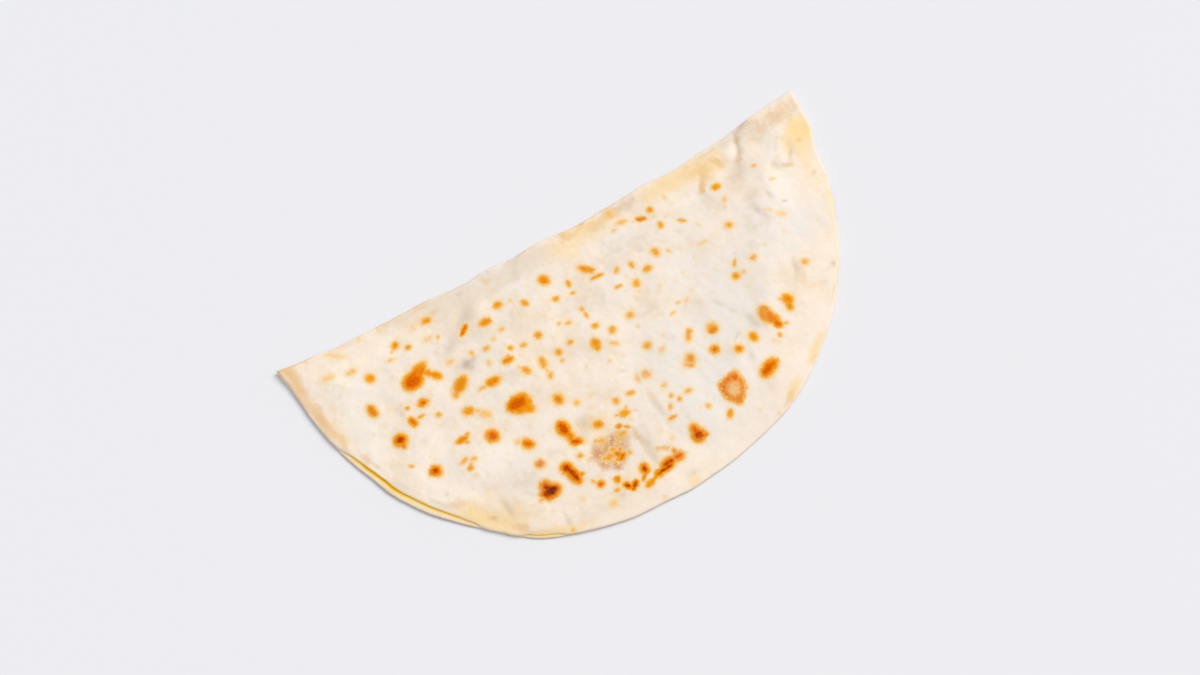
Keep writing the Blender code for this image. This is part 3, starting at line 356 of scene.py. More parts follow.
# Grey-brown specks where the filling shows through the thin dough, and painted shade along the creases,
# dents and fine wrinkles of the top leaf.
GREYED_AND_SHADED = (
    (70.5, 11.5, 2.2, 0.5, 60, 0.5), (68, 10.5, 1.8, 0.4, 70, 0.4), (72.5, 13, 1.8, 0.4, 50, 0.4),
    (-51.3, 34, 2.3, 2, 0, 1), (-48.4, 33.6, 2, 0.9, -15, 0.8), (-50.2, 36.3, 1.2, 0.8, 60, 0.6),
    (84.6, 3.9, 4.6, 1.4, -26, 1), (76, 6.5, 4.5, 2, -15, 0.34), (68, 6.6, 5, 0.8, -5, 0.4),
    (80.4, 8, 2.8, 0.9, 112, 0.95), (78.5, 12.5, 3.2, 1.1, 118, 0.6), (76.2, 15.6, 3.2, 1.6, 125, 0.5),
    (73, 20, 4.5, 3, -35, 0.34), (58.1, 19.4, 1.5, 1.1, 130, 1), (81.8, 38.6, 1.2, 0.5, 5, 0.9),
    (78.3, 34, 2, 1, 80, 0.5), (70.8, 36.5, 2.4, 1.4, 80, 0.45), (72.5, 40.5, 2.2, 0.9, 60, 0.3),
    (73, 31, 3, 2.2, -40, 0.25), (-42, 17.5, 5, 2.4, -35, 0.3), (-54, 25, 6, 2, -30, 0.25),
    (-39.8, 8.3, 1, 0.8, 0, 0.45), (-100.4, 2.8, 0.7, 0.5, 110, 0.6), (-96.3, 21, 0.8, 0.7, 0, 0.35),
    (-77.2, 21.2, 0.7, 0.6, 0, 0.35), (-99.9, 13.3, 0.6, 0.5, 0, 0.3), (-91.3, 47.2, 0.5, 0.4, 0, 0.6),
    (-81.9, 72.7, 0.5, 0.5, 0, 1), (-41.5, 71.8, 0.5, 0.5, 0, 0.4), (-82, 37, 6, 2.4, 80, 0.22),
    (-62.2, 62.8, 1, 0.8, 0, 0.3), (-15, 31.4, 0.6, 0.5, 0, 0.4), (-7.3, 31.5, 1.2, 0.9, 0, 0.25),
    (4.6, 36.5, 1.4, 0.9, 30, 0.25), (12.7, 39.5, 0.7, 0.5, -30, 0.3), (-4.3, 65.6, 1.8, 0.7, 25, 0.4),
    (-8.7, 80.9, 1.4, 0.6, 35, 0.4), (-8.5, 83.5, 0.6, 0.5, 0, 0.4), (42, 66.2, 1.9, 0.8, 62, 0.45),
    (38.9, 60.8, 2.6, 1, 52, 0.42), (36.8, 76, 1.7, 0.45, -38, 0.62), (38.8, 74.9, 1.2, 0.4, -10, 0.5),
    (38.3, 84.6, 0.6, 1.8, 10, 0.45), (33.3, 80, 1, 2.6, 10, 0.4), (45.3, 74, 4, 1.6, 85, 0.35),
    (42, 29, 1.2, 1, 0, 0.25), (41, 40.8, 0.9, 0.6, -40, 0.3), (26, 28.5, 1.4, 1.2, 0, 0.25),
    (34.3, 25, 0.6, 0.4, -50, 0.4), (54.6, 47.7, 0.6, 0.5, 0, 0.35), (66, 42, 2.5, 2, 20, 0.12),
    (71.2, 62.5, 2.4, 1.4, 80, 0.4), (69, 66.3, 2, 0.7, 120, 0.4), (84.2, 68.3, 1, 0.8, 120, 0.55),
    (81.8, 69.4, 2.2, 0.7, 0, 0.25), (77, 73, 2, 1.2, 0, 0.22), (-11.5, 94, 5.5, 2, 85, 0.3),
    (-13.5, 88, 3, 1, -10, 0.3), (-9.3, 88.5, 2.5, 1.2, 100, 0.3), (-0.8, 85, 7.5, 1.6, 92, 0.35),
    (-24, 76.5, 4.5, 2.6, 40, 0.35), (-66, 88.5, 3, 1, 85, 0.3), (-50, 103, 3.5, 0.9, 95, 0.25),
    (-71.7, 88.7, 1.3, 0.6, 25, 0.6), (17, 22.3, 1.2, 1, 0, 0.25), (19.5, 23.7, 1.4, 1, 0, 0.3),
    (-20, 13, 3.5, 1.6, -35, 0.25), (-16, 7, 4, 1.6, -5, 0.25), (18, 12.3, 3.5, 1, 0, 0.3),
    (30, 9.5, 5, 2.4, 0, 0.3), (91.3, 18, 2.4, 0.7, -50, 0.4), (88.3, 25, 3, 1.4, 80, 0.35),
    (91.5, 27, 2, 0.8, 20, 0.3), (-37, 106, 3, 2, 60, 0.2), (-28.8, 105, 1.2, 0.7, 20, 0.45),
    (39, 84, 3.5, 1.2, 95, 0.25), (38, 96, 5, 3, -20, 0.18), (-84, 77, 3, 1, 50, 0.3),
    (-96, 60, 5, 1.6, 62, 0.2),
)

# Where the scorch marks are redder or yellower than most.
RUDDY_MARKS = (
    (26, 92, 6.5, 7.5, 0, 0.8), (51, 73, 5, 3.4, 82, 0.42), (17.4, 75, 3, 3, 0, 0.5),
    (23.4, 65.4, 3.6, 2.4, -57, 0.7), (-57.4, 62.7, 3.6, 3.6, 0, 0.26), (-48, 80.8, 3, 3, 0, 1),
    (-51, 89, 5, 3.6, 20, 0.55), (-3.6, 102.8, 3, 2.6, 0, 0.6), (-8, 97.5, 4, 2, 20, 1),
    (-0.5, 70.7, 4.2, 3.4, 0, 0.9), (7, 100.5, 3.2, 3.2, 0, 0.4), (-17, 83, 2, 1.6, 0, 0.35),
    (59.3, 52.4, 2.2, 2, 0, 0.5), (19.8, 31.6, 1.8, 1.6, 0, 0.5), (2, 88.5, 3, 4, 0, 0.4),
    (32.8, 17, 2.4, 1.4, 28, 0.45), (-33.3, 97.9, 1.8, 1.8, 0, 0.2), (14.7, 92.8, 2, 1.8, 0, 0.45),
    (-4.9, 37.4, 1.6, 1.4, 0, 0.4), (-77.9, 37.7, 1.4, 1.4, 0, 0.45), (31.5, 69.4, 2.2, 1.6, 0, 0.35),
    (-11.9, 39.5, 2, 1.6, 0, 0.4), (11.7, 65.8, 2.6, 2, 0, 0.5), (-58.5, 18, 3, 2.2, 0, 0.4),
    (23.8, 9, 2.6, 2.2, 0, 0.4),
)
GOLDEN_MARKS = (
    (17.4, 38.9, 2.4, 2, 0, 0.5), (-4.2, 45.6, 2.4, 2.4, 0, 0.6), (-12.5, 79.8, 2.2, 2.2, 0, 0.6),
    (63.4, 20.5, 2.4, 2.4, 0, 0.6), (-73.8, 18.2, 2.6, 2.2, 0, 0.5), (-25.3, 20.6, 2, 2, 0, 0.5),
    (-4.4, 30.1, 2, 2, 0, 0.5), (-16.2, 105.8, 3.4, 1.6, -15, 0.95), (19.9, 99.1, 2.4, 1.8, -45, 0.9),
    (-12.4, 79.8, 2.4, 1.8, 20, 0.8), (-83.8, 20.8, 2.8, 2.4, 0, 0.75), (-70.2, 66.6, 2.6, 3, 0, 0.65),
    (-29.5, 102.6, 1.8, 1.4, 0, 0.75), (-59.8, 49.9, 3.2, 2.6, 0, 0.65), (17.4, 38.9, 2.2, 2, 0, 0.6),
    (63.4, 20.5, 2.2, 1.8, 0, 0.65), (-41, 60, 3.2, 2.4, 20, 0.6), (61.4, 73.2, 3, 3.4, 0, 0.5),
    (42.8, 78.6, 2.6, 2.4, 0, 0.5), (-7.7, 52, 2.8, 2.8, 0, 0.48), (-4.2, 45.6, 1.8, 1.6, 0, 0.48),
    (51.6, 82.7, 1.6, 1.4, 0, 0.6), (50.2, 55.3, 2.4, 2, 0, 0.45), (-25.3, 20.6, 1.6, 1.4, 0, 0.5),
    (-4.4, 30.1, 2, 1.4, 0, 0.5), (-23.7, 38, 2.2, 2, 0, 0.42), (-72.8, 17, 2.6, 2.2, 0, 0.42),
    (-69.7, 13.8, 2.4, 2, 0, 0.38), (-30.1, 19.5, 2.2, 2, 0, 0.36), (-21.4, 24.5, 2.4, 1.8, 80, 0.36),
    (37.8, 15.9, 2.2, 1.8, 0, 0.4), (-20.7, 47.4, 2, 1.8, 0, 0.3), (75.3, 62.9, 2.4, 2, 0, 0.35),
    (-62.8, 31.9, 2.6, 2, 50, 0.35), (8, 61.7, 2.2, 2, 0, 0.3), (45.2, 25.8, 2.2, 1.4, 42, 0.35),
    (-67, 58.2, 3, 1.6, 0, 0.3), (52.8, 61, 2, 1.6, 110, 0.9), (-56.5, 21.3, 1.6, 1.4, 0, 0.6),
    (-46.8, 45.2, 3, 1.8, 0, 0.28),
)

# The same beside the round edge: angle from the right tip, inset from the edge, half length along the
# edge, half width, turn from the edge's direction, strength. Angles in degrees, the rest in mm.
RIM_OILY = (
    (15, 4.5, 7, 3, 0, 0.22), (46, 5, 14, 3, 0, 0.15), (127.5, 4.3, 5.6, 3, 0, 0.66),
    (133.2, 5, 1.6, 2.6, 0, 0.6), (163, 3.2, 12, 2.2, 0, 0.42), (92, 1.5, 2.6, 2.2, 0, 0.6),
    (66.5, 2.4, 5.5, 2, -18, 0.8), (57, 1.8, 6.5, 2.1, 0, 0.75), (24, 1.5, 14, 1.6, 0, 0.3),
    (38, 1.2, 14, 1.2, 0, 0.24), (50, 1, 12, 1, 0, 0.24), (113, 2.8, 9, 2, 0, 0.34),
    (117.5, 2.2, 3.4, 1.2, 0, 0.6), (113.6, 1.4, 1.2, 1.3, 0, 0.5),
)
RIM_TANNED = (
    (167, 2.2, 13, 1.6, 0, 0.5), (154, 3.8, 9, 1.2, 0, 0.34), (139, 4.2, 9, 1.2, 0, 0.22),
    (120, 1.5, 8, 1.4, 0, 0.5), (98, 1.3, 1.6, 1.1, 0, 0.5), (68.5, 1.6, 4.5, 1.5, -12, 0.45),
    (71.8, 1.4, 1.3, 1, 0, 0.45), (43, 1.2, 13, 0.5, 0, 0.38), (26, 1, 9, 0.5, 0, 0.4),
    (58.5, 1.2, 3.5, 1, 0, 0.36),
)
RIM_GREYED = ((39, 2.3, 0.9, 0.7, 0, 0.7), (19, 5, 1.2, 0.8, 30, 0.6), (91.5, 4.5, 1.8, 0.9, 0, 0.4))
# Drops of golden oil on the edge.
RIM_DROPS = ((115, 1.4, 1, 0.45, 90, 1), (72, 1.2, 0.8, 0.5, 80, 0.55), (98, 1.3, 0.8, 0.5, 0, 0.5))
# The same beside the fold: along, inset from the fold's even curve, then as above.
FOLD_TANNED = (
    (-102, 0.7, 8, 0.6, 4, 0.9), (4.5, 2, 1.6, 1.3, 0, 0.6), (13, 1.8, 1.6, 1, 0, 0.8),
    (-60, 0.5, 30, 0.4, 0, 0.5), (18, 1, 18, 0.6, 0, 0.5),
)
FOLD_GREYED = (
    (-36.5, 1.2, 6, 0.5, 0, 0.6), (-12, 0.9, 4, 0.5, 0, 0.6), (31, 3, 4.5, 2.2, 0, 0.35),
    (34.5, 3, 0.9, 0.8, 0, 0.6),
)
FOLD_OILY = ((7, 2, 1.6, 1.2, 0, 0.8), (12.5, 4.5, 9, 3, 3, 0.4), (17.5, 2, 0.9, 1.2, 0, 0.8))

# Golden oil along the open seam: (angle, how strong).
SEAM_OIL_KNOTS = (
    (21, 0), (24, 0.25), (30, 0.2), (36, 0.15), (44, 0.15), (46, 0), (114, 0), (116, 0.45), (119, 0.4),
    (124, 0.25), (130, 0.1), (133, 0.34), (135.5, 0.58), (142, 0.66), (146, 0.78), (148, 1), (154, 0.88),
    (157, 0.56), (159, 0.16), (160.5, 0),
)
SEAM_OIL_WIDTH = 1.65  # of the golden line, in mm

# The rough place over the filling: the dough is thin there, freckled with whitish and gold bits.
ROUGH_PLACES = (
    (-18.4, 86.7, 2.8, 3.2, 0, 1), (-21.8, 86.8, 3.2, 2.6, 0, 0.85), (-28.4, 88, 2.8, 3.8, 10, 0.85),
    (-25, 85.8, 3.4, 2.8, 0, 0.75), (-24, 90.6, 5, 3, 0, 0.95), (-22.3, 93.2, 3.2, 2.2, 0, 0.9),
    (-24.8, 96, 2.8, 2, 0, 0.62), (-28, 92.6, 2.4, 2.2, 0, 0.45), (-13.6, 90, 1.6, 2.2, 0, 0.32),
)
ROUGH_BITS = (
    (-26.8, 83.4, 1, 0.8, 0, 0.46), (-24.9, 84.4, 1.6, 1, 15, 0.46), (-25.8, 86, 1, 0.8, 40, 0.36),
    (-27.6, 90.6, 1, 0.8, 0, 0.48), (-25.6, 91, 1.9, 1.3, 0, 0.6), (-23.2, 89.2, 1.2, 0.7, 20, 0.6),
    (-22.4, 91.6, 1.7, 1.3, 60, 0.76), (-21.6, 93.2, 1.9, 1, -30, 0.82), (-20.9, 90.4, 0.8, 0.7, 0, 0.62),
    (-23.6, 93.2, 0.9, 0.6, 0, 0.66), (-18.7, 93.2, 1, 0.9, 50, 0.5), (-17.2, 86, 1.8, 1.5, 0, 0.4),
    (-20.4, 87.6, 1.2, 0.7, 0, 0.42), (-19, 84.8, 0.9, 0.7, 0, 0.36),
)

# Where drawn marks may lie: a box, and how far in from the round edge and out from the line between the
# tips. All in mm.
DRAWN_ALONG = (-108, 108)
DRAWN_OUT = (4, 112)
EDGE_MARGIN = 5
FOLD_MARGIN = 8
DRAWN_STRETCH = (1, 1.6)  # a drawn mark's length, as a multiple of its width

# Faint freckles that the rows of marks leave out, scattered by a seeded draw.
FRECKLES = 380
FRECKLE_REACH = (0.35, 0.9)
FRECKLE_HEAT = (0.08, 0.21)
FRECKLE_SEED = 11

# The underside's marks, guessed: it lay on the griddle first.
UNDER_MARKS = 260
UNDER_REACH = (0.8, 3.4)
UNDER_HEAT = (0.25, 0.85)
UNDER_MARGIN = 10.5  # from the edge to the nearest mark's middle, in mm
UNDER_FOLD_MARGIN = 15.5  # the same from the straight line between the tips
UNDER_SEED = 23

# ---------------------------------------------------------------- camera, light and floor

CAMERA_AZIMUTH = math.radians(-31.17)
CAMERA_ELEVATION = math.radians(68)
CAMERA_DISTANCE = 0.90
AIM = (-3.6 * MM, 48.6 * MM)  # the place in the middle of the view
LENS = 74.2
SENSOR = 36.0
KEY_FROM = (0.80, 0.55, 1.15)  # right, away and up, as the camera sees it
KEY_SIZE = math.radians(40)
KEY_STRENGTH = 1.86
KEY_COLOUR = (1.0, 0.98, 0.955)
STUDIO_COLOUR = (0.985, 0.985, 1.0, 1.0)
STUDIO_STRENGTH = 0.60
FLOOR_COLOUR = (233, 234, 238)
FLOOR_ROUGHNESS = 0.6
FLOOR_SPECULAR = 0.2
FLOOR_SIZE = 6.0
FLOOR_DROP = 0.05 * MM


def smooth(t):
    """0 below 0 and 1 above 1, with a smooth step between."""
    t = np.clip(t, 0.0, 1.0)
    return t * t * (3 - 2 * t)


def eased(at, knots):
    """A curve through knots (x, y), level at each of them, at places x."""
    x, y = np.array(knots, float).T
    n = np.clip(np.searchsorted(x, at) - 1, 0, len(x) - 2)
    return y[n] + (y[n + 1] - y[n]) * smooth((at - x[n]) / (x[n + 1] - x[n]))


def wave(along, out, length, layer):
    """Smooth noise from about -1 to 1 at places on the qutab. layer picks one of many patterns."""
    return np.array([2 * noise.noise(Vector((a / length, o / length, layer))) for a, o in zip(along, out)])


def turned(places, along, out, tilt):
    """Offsets in mm of places from a mark's middle, along its long way and across it."""
    angle = math.radians(tilt)
    offset = places / MM - (along, out)
    u = offset[:, 0] * math.cos(angle) + offset[:, 1] * math.sin(angle)
    v = offset[:, 1] * math.cos(angle) - offset[:, 0] * math.sin(angle)
    return u, v


def soft_spot(places, along, out, half_length, half_width, tilt):
    """1 in the middle of a spot, and softly down to 0 away from it."""
    u, v = turned(places, along, out, tilt)
    return np.exp(-((u / half_length) ** 2) - (v / half_width) ** 2)


def from_segment(places, start, end):
    """Each place's distance from the straight line between two others."""
    step = end - start
    share = np.clip(((places - start) @ step) / (step @ step), 0, 1)
    return np.linalg.norm(places - start - share[:, None] * step, axis=1)


# ---------------------------------------------------------------- outline


def edge_places(angle):
    """The round edge at those angles from the right tip."""
    radius = HALF_FOLD * sum(share * np.cos(n * angle) for n, share in enumerate(EDGE_SHARES))
    radius = radius - eased(np.degrees(angle), EDGE_INSETS) * MM
    return np.stack([radius * np.cos(angle), radius * np.sin(angle)], axis=1)


def fold_curve(share):
    """How far out the fold's even curve lies at a share of the way from the left tip to the right."""
    waves = sum(tall * np.sin((n + 2) * np.pi * share) for n, tall in enumerate(FOLD_WAVES))
    return FOLD_SAG * 4 * share * (1 - share) + waves


def fold_places(left, right, share):
    """The fold at shares of the way from the left tip to the right."""
    along = left + share * (right - left)
    return np.stack([along, fold_curve(share) + eased(along / MM, FOLD_INSETS) * MM], axis=1)


def evenly(places, count):
    """That many places at even steps along a line of places."""
    steps = np.linalg.norm(np.diff(places, axis=0), axis=1)
    run = np.concatenate([[0], np.cumsum(steps)])
    at = np.linspace(0, run[-1], count, endpoint=False)
    return np.stack([np.interp(at, run, places[:, k]) for k in (0, 1)], axis=1)


class Outline:
    """The closed line of the bottom leaf's edge, with what varies along it, as in the part."""

    def __init__(self, round_count, fold_count):
        edge = edge_places(np.linspace(0, np.pi, FINE_STATIONS))
        fold = fold_places(edge[-1, 0], edge[0, 0], np.linspace(0, 1, FINE_STATIONS))
        self.places = np.concatenate([evenly(edge, round_count), evenly(fold, fold_count)])
        count = round_count + fold_count

        tangent = np.roll(self.places, -1, axis=0) - np.roll(self.places, 1, axis=0)
        inward = np.stack([-tangent[:, 1], tangent[:, 0]], axis=1)
        unit = inward / np.linalg.norm(inward, axis=1)[:, None]
        turns = range(-CORNER_SOFTNESS, CORNER_SOFTNESS + 1)
        spread = sum(np.roll(unit, turn, axis=0) for turn in turns)
        self.inward = spread / np.linalg.norm(spread, axis=1)[:, None]

        self.angle = np.arctan2(self.places[:, 1], self.places[:, 0])
        is_round = np.arange(count) < round_count
        run = np.linalg.norm(self.places - self.places[0], axis=1)
        run_left = np.linalg.norm(self.places - self.places[round_count], axis=1)
        self.seam = np.where(is_round, smooth(np.minimum(run, run_left) / TIP_LENGTH), 0.0)
        self.gape = eased(np.degrees(self.angle), GAPE_KNOTS) * self.seam
        self.lift = LEAST_LIFT + LIFT * self.gape
        self.leafy = self.seam * (PRESSED + (1 - PRESSED) * smooth(self.gape / WIDE_OPEN))
        self.leaf = DOUGH * (1 - PINCH * self.seam)
        along, out = self.places.T
        self.ragged_low = RAGGED * wave(along, out, RAGGED_LENGTH, 3.1) * self.seam
        self.ragged_top = RAGGED * wave(along, out, RAGGED_LENGTH, 7.7) * self.seam

    def nearest(self, places):
        """For each place, its distance in from the outline and the outline's nearest station."""
        best = np.full(len(places), np.inf)
        station = np.zeros(len(places), int)
        for i, (start, end) in enumerate(zip(self.places, np.roll(self.places, -1, axis=0))):
            distance = from_segment(places, start, end)
            nearer = distance < best
            best[nearer], station[nearer] = distance[nearer], i
        return best, station

    def inside(self, places, station):
        """Whether each place is inside the outline, given the nearest station."""
        return ((places - self.places[station]) * self.inward[station]).sum(axis=1) > 0

    def top_height_at(self, places, inset, station):
        return top_height(places, inset, self.lift[station], self.gape[station], self.leaf[station])


# ---------------------------------------------------------------- relief


def crease_depth(places, depth, half_width, through):
    """How deep a crease that runs through some corners is at each place."""
    corners = np.array(through) * MM
    best = np.full(len(places), np.inf)
    for start, end in zip(corners[:-1], corners[1:]):
        best = np.minimum(best, from_segment(places, start, end))
    return depth * np.exp(-((best / half_width) ** 2))


def blister_height(places, along, out, half_length, half_width, tilt):
    """How high a blister stands at each place."""
    u, v = turned(places, along, out, tilt)
    return BLISTER_HEIGHT * smooth(BLISTER_REACH - np.hypot(u / half_length, v / half_width))


def top_height(places, inset, lift, gape, leaf):
    """Height of the top face as in the part, with the dents and the dough's small relief over it."""
    along, out = places.T
    filled = smooth((inset - RIM) / SHOULDER)
    settled = 1 - smooth((inset - TUCK_START) / TUCK)
    pinched = 1 - smooth((inset - SET_BACK * gape) / PINCH_WIDTH)
    height = 2 * DOUGH + FILLING * filled + (lift + LEAST_GAP + GAP * gape) * settled
    height -= 2 * (DOUGH - leaf) * pinched
    for layer, (tall, length) in enumerate(LUMPS):
        height += tall * filled * wave(along, out, length, layer + 0.5)
    height += RIPPLE[0] * smooth(inset / RIM) * wave(along, out, RIPPLE[1], 5.5)
    for crease in CREASES:
        height -= crease_depth(places, *crease)
    for blister in BLISTERS:
        height += blister_height(places, *blister)
    for *spot, rise in DENTS:
        height += rise * MM * soft_spot(places, *spot)
    for layer, (tall, length) in enumerate(GRAIN):
        height += tall * smooth(inset / RIM) * wave(along, out, length, layer + 20.5)
    return height


# ---------------------------------------------------------------- what the top face shows


def ellipse_depth(places, along, out, half_length, half_width, tilt):
    """About how far inside an ellipse each place is, in mm: negative outside."""
    u, v = turned(places, along, out, tilt)
    share = np.hypot(u / half_length, v / half_width)
    slope = np.hypot(u / half_length**2, v / half_width**2)
    near_middle = share < 0.25
    from_middle = min(half_length, half_width) * (1 - share)
    return np.where(near_middle, from_middle, share * (1 - share) / np.maximum(slope, 1e-6))


def scorch(places, marks):
    """How far inside the marks each place is, as a share of each mark's soft border, and their heat. Where
    marks overlap the deeper one shows, and a hotter core inside a mark shows through it."""
    places = places - TABLE_SHIFT
    depth, heat = (np.full(len(places), value) for value in NO_MARK.values())
    for along, out, half_length, half_width, tilt, mark_heat in marks:
        near = np.abs(places / MM - (along, out)).max(axis=1) < MARK_REACH
        border = min(max(BORDER * min(half_length, half_width), BORDER_RANGE[0]), BORDER_RANGE[1])
        here = ellipse_depth(places[near], along, out, half_length, half_width, tilt) / border
        was, was_heat = depth[near], heat[near]
        core = (was > CORE_DEPTH) & (mark_heat > was_heat)
        share = smooth(0.5 + (here - was) / MEETING)
        share = np.where(core, smooth((here - CORE_START) / CORE_RISE), share)
        heat[near] = was_heat + (mark_heat - was_heat) * share
        depth[near] = np.maximum(was, here)
    return depth, heat


def ring_mark(places, depth, heat):
    """Adds the large angular mark to the depth and heat of the others."""
    places = places - TABLE_SHIFT
    corners = np.array(RING_CORNERS)
    from_sides = []
    for start, end in zip(corners, np.roll(corners, -1, axis=0)):
        step = end - start
        inward = np.array([step[1], -step[0]]) / np.hypot(*step)
        from_sides.append((places / MM - start) @ inward)
    softness = RING_CORNER_SOFTNESS
    inside = -softness * np.log(np.exp(-np.array(from_sides) / softness).sum(axis=0))
    middle = smooth((inside - 0.5 * RING_BAND) / RING_BAND)
    ring_heat = RING_HEAT + (RING_MIDDLE_HEAT - RING_HEAT) * middle
    border = BORDER_RANGE[1]
    near = inside > -border
    in_band, in_middle = RING_MOTTLE_SHARES
    mottle = RING_MOTTLE * (in_band + (in_middle - in_band) * middle[near])
    ring_heat[near] += mottle * wave(*places[near].T, RING_MOTTLE_LENGTH, 41.5)
    for along, out, reach, knot_heat in RING_KNOTS:
        ring_heat += (knot_heat - ring_heat) * soft_spot(places, along, out, reach, reach, 0)
    inside = inside / border
    is_ring = inside > depth
    return np.where(is_ring, inside, depth), np.where(is_ring & (inside > -1), ring_heat, heat)


def patches(places, rows):
    """Strength from 0 to 1 of soft patches at each place."""
    places = places - TABLE_SHIFT
    total = np.zeros(len(places))
    for *spot, strength in rows:
        total = 1 - (1 - total) * (1 - strength * soft_spot(places, *spot))
    return total


def freckles(count, reach, heat, seed, inside):
    """Marks of drawn places, sizes and heats, those for which inside says yes."""
    draw = np.random.default_rng(seed)
    rows = []
    while len(rows) < count:
        along, out = draw.uniform(*DRAWN_ALONG), draw.uniform(*DRAWN_OUT)
        half_width = reach[0] + (reach[1] - reach[0]) * draw.random() ** 2
        half_length = half_width * draw.uniform(*DRAWN_STRETCH)
        tilt, mark_heat = draw.uniform(0, 180), draw.uniform(*heat)
        if inside(along, out):
            rows.append((along, out, half_length, half_width, tilt, mark_heat))
    return rows


def rim_rows(rows):
    """Rows whose places are given by angle and inset, with their places given as (along, out) instead."""
    found = []
    for angle, inset, half_length, half_width, turn, *rest in rows:
        edge = np.hypot(*edge_places(np.array([math.radians(angle)]))[0]) / MM
        place = [(edge - inset) * share(math.radians(angle)) for share in (math.cos, math.sin)]
        found.append((*place, half_length, half_width, angle + 90 + turn, *rest))
    return tuple(found)


def fold_rows(rows):
    """The same for rows whose second number is the inset from the fold's even curve."""
    found = []
    for along, inset, *rest in rows:
        even = fold_curve(0.5 + along * MM / HALF_FOLD / 2)
        found.append((along, even / MM + inset, *rest))
    return tuple(found)


def within_edge(along, out, margin=EDGE_MARGIN, fold_margin=FOLD_MARGIN):
    """Whether a place in mm lies well inside the round edge and the straight line between the tips."""
    edge = edge_places(np.array([math.atan2(out, along)])) / MM
    return bool(np.hypot(along, out) < np.hypot(*edge[0]) - margin and out > fold_margin)


def under_within(along, out):
    """Whether a mark there lies clear of the underside's bare border."""
    return within_edge(along, out, UNDER_MARGIN, UNDER_FOLD_MARGIN)


# The rows of every kind of patch, under the names that the mesh's attributes have.
PATCHES = {
    "bleached": BLEACHED_AND_LIT,
    "cooled": COOLED,
    "dusky": DUSKY_AND_SHADED,
    "oily": OILY + rim_rows(RIM_OILY) + fold_rows(FOLD_OILY),
    "tanned": TANNED + rim_rows(RIM_TANNED) + fold_rows(FOLD_TANNED),
    "greyed": GREYED_AND_SHADED + rim_rows(RIM_GREYED) + fold_rows(FOLD_GREYED),
    "ruddy": RUDDY_MARKS,
    "golden": GOLDEN_MARKS,
    "thinned": ROUGH_PLACES,
    "dripped": rim_rows(RIM_DROPS),
}
FAR_FROM_SEAM = 9.0  # a seam_inset at which no seam oil shows
# Every attribute of the mesh, and its value where nothing is said.
SHOWN = {
    **NO_MARK,
    **dict.fromkeys((*PATCHES, "filled", "seam_oil", "underside"), 0.0),
    "seam_inset": -FAR_FROM_SEAM,
}


# ---------------------------------------------------------------- mesh


def smooth_profile(rings):
    """Twice as many rings, the new ones midway on the cubic through the two others to each side."""
    rings = np.array(rings)
    full = [rings[0]]
    for n in range(1, len(rings)):
        before, start, end = rings[max(n - 2, 0)], rings[n - 1], rings[n]
        after = rings[min(n + 1, len(rings) - 1)]
        full.append((9 * (start + end) - before - after) / 16)
        full.append(end)
    return full


def edge_profiles(outline):
    """The edge's cross-section at every station, as in the part: rings of (inset, height)."""
    gape, lift, thick, leafy = outline.gape, outline.lift, outline.leaf, outline.leafy
    low, top = outline.ragged_low, outline.ragged_top
    back = SET_BACK * gape + 0.2 * MM + top
    root = back + 0.5 * MM + GROOVE * gape
    gap = LEAST_GAP + GAP * gape
    leaf = lift + thick  # the bottom leaf's upper face
    over = leaf + gap  # the top leaf's lower face
    leaves = (
        (0.45 * MM + low, lift + 0.05 * MM),
        (low, lift + 0.40 * thick),
        (0.45 * MM + low, leaf - 0.08 * MM),
        (back + 0.10 * MM, leaf),
        (root, leaf + 0.35 * gap),
        (back + 0.25 * MM, over),
        (back, over + 0.35 * thick),
        (back + 0.55 * MM, over + 0.82 * thick),
        (back + 1.9 * MM, over + thick),
    )
    # Where the dough is folded the same rings run round a plain nose, half a circle in section, and where
    # it is pressed shut they lie between the two.
    nose = thick + 0.5 * LEAST_LIFT
    turns = np.radians((-78, -52, -30, -12, 0, 12, 34, 62, 88))
    rings = [(REST_RING + 0 * lift, 0 * lift), (0.5 * REST_RING + 0 * lift, 0.15 * lift)]
    for leaf_ring, turn in zip(leaves, turns):
        nose_ring = (nose * (1 - math.cos(turn)), LEAST_LIFT + nose * (1 + math.sin(turn)))
        rings.append(tuple(a + (b - a) * leafy for a, b in zip(nose_ring, leaf_ring)))
    return rings


def staggered(low, high, spacing):
    """Points of a grid of even triangles over a box."""
    found = []
    for n, out in enumerate(np.arange(low[1], high[1], spacing * math.sqrt(0.75))):
        along = np.arange(low[0] + (n % 2) * spacing / 2, high[0], spacing)
        found.append(np.stack([along, np.full(len(along), out)], axis=1))
    return np.concatenate(found)


def triangulate(ring, points):
    """Faces over a closed ring of places and the points inside it, as indices into both in turn."""
    places = [Vector(p) for p in np.concatenate([ring, points])]
    loop = [(i, (i + 1) % len(ring)) for i in range(len(ring))]
    inside_only = 1
    same_place = 1e-8
    _, _, faces, sources, _, _ = geometry.delaunay_2d_cdt(places, loop, [], inside_only, same_place)
    first = np.array([indices[0] for indices in sources])
    return first[np.array(faces)]


def top_points(outline, ring, ring_inset, marks):
    """Points inside a ring: close together in and beside the marks, wider apart elsewhere."""
    low, high = ring.min(axis=0), ring.max(axis=0)
    found = []
    for spacing, fine in ((WIDE_SPACING, False), (FINE_SPACING, True)):
        points = staggered(low, high, spacing)
        is_fine = scorch(points, marks)[0] > -FINE_MARGIN
        points = points[is_fine == fine]
        inset, station = outline.nearest(points)
        clear = (inset > ring_inset[station] + 0.5 * spacing) & outline.inside(points, station)
        found.append((points[clear], inset[clear], station[clear]))
    return [np.concatenate(parts) for parts in zip(*found)]


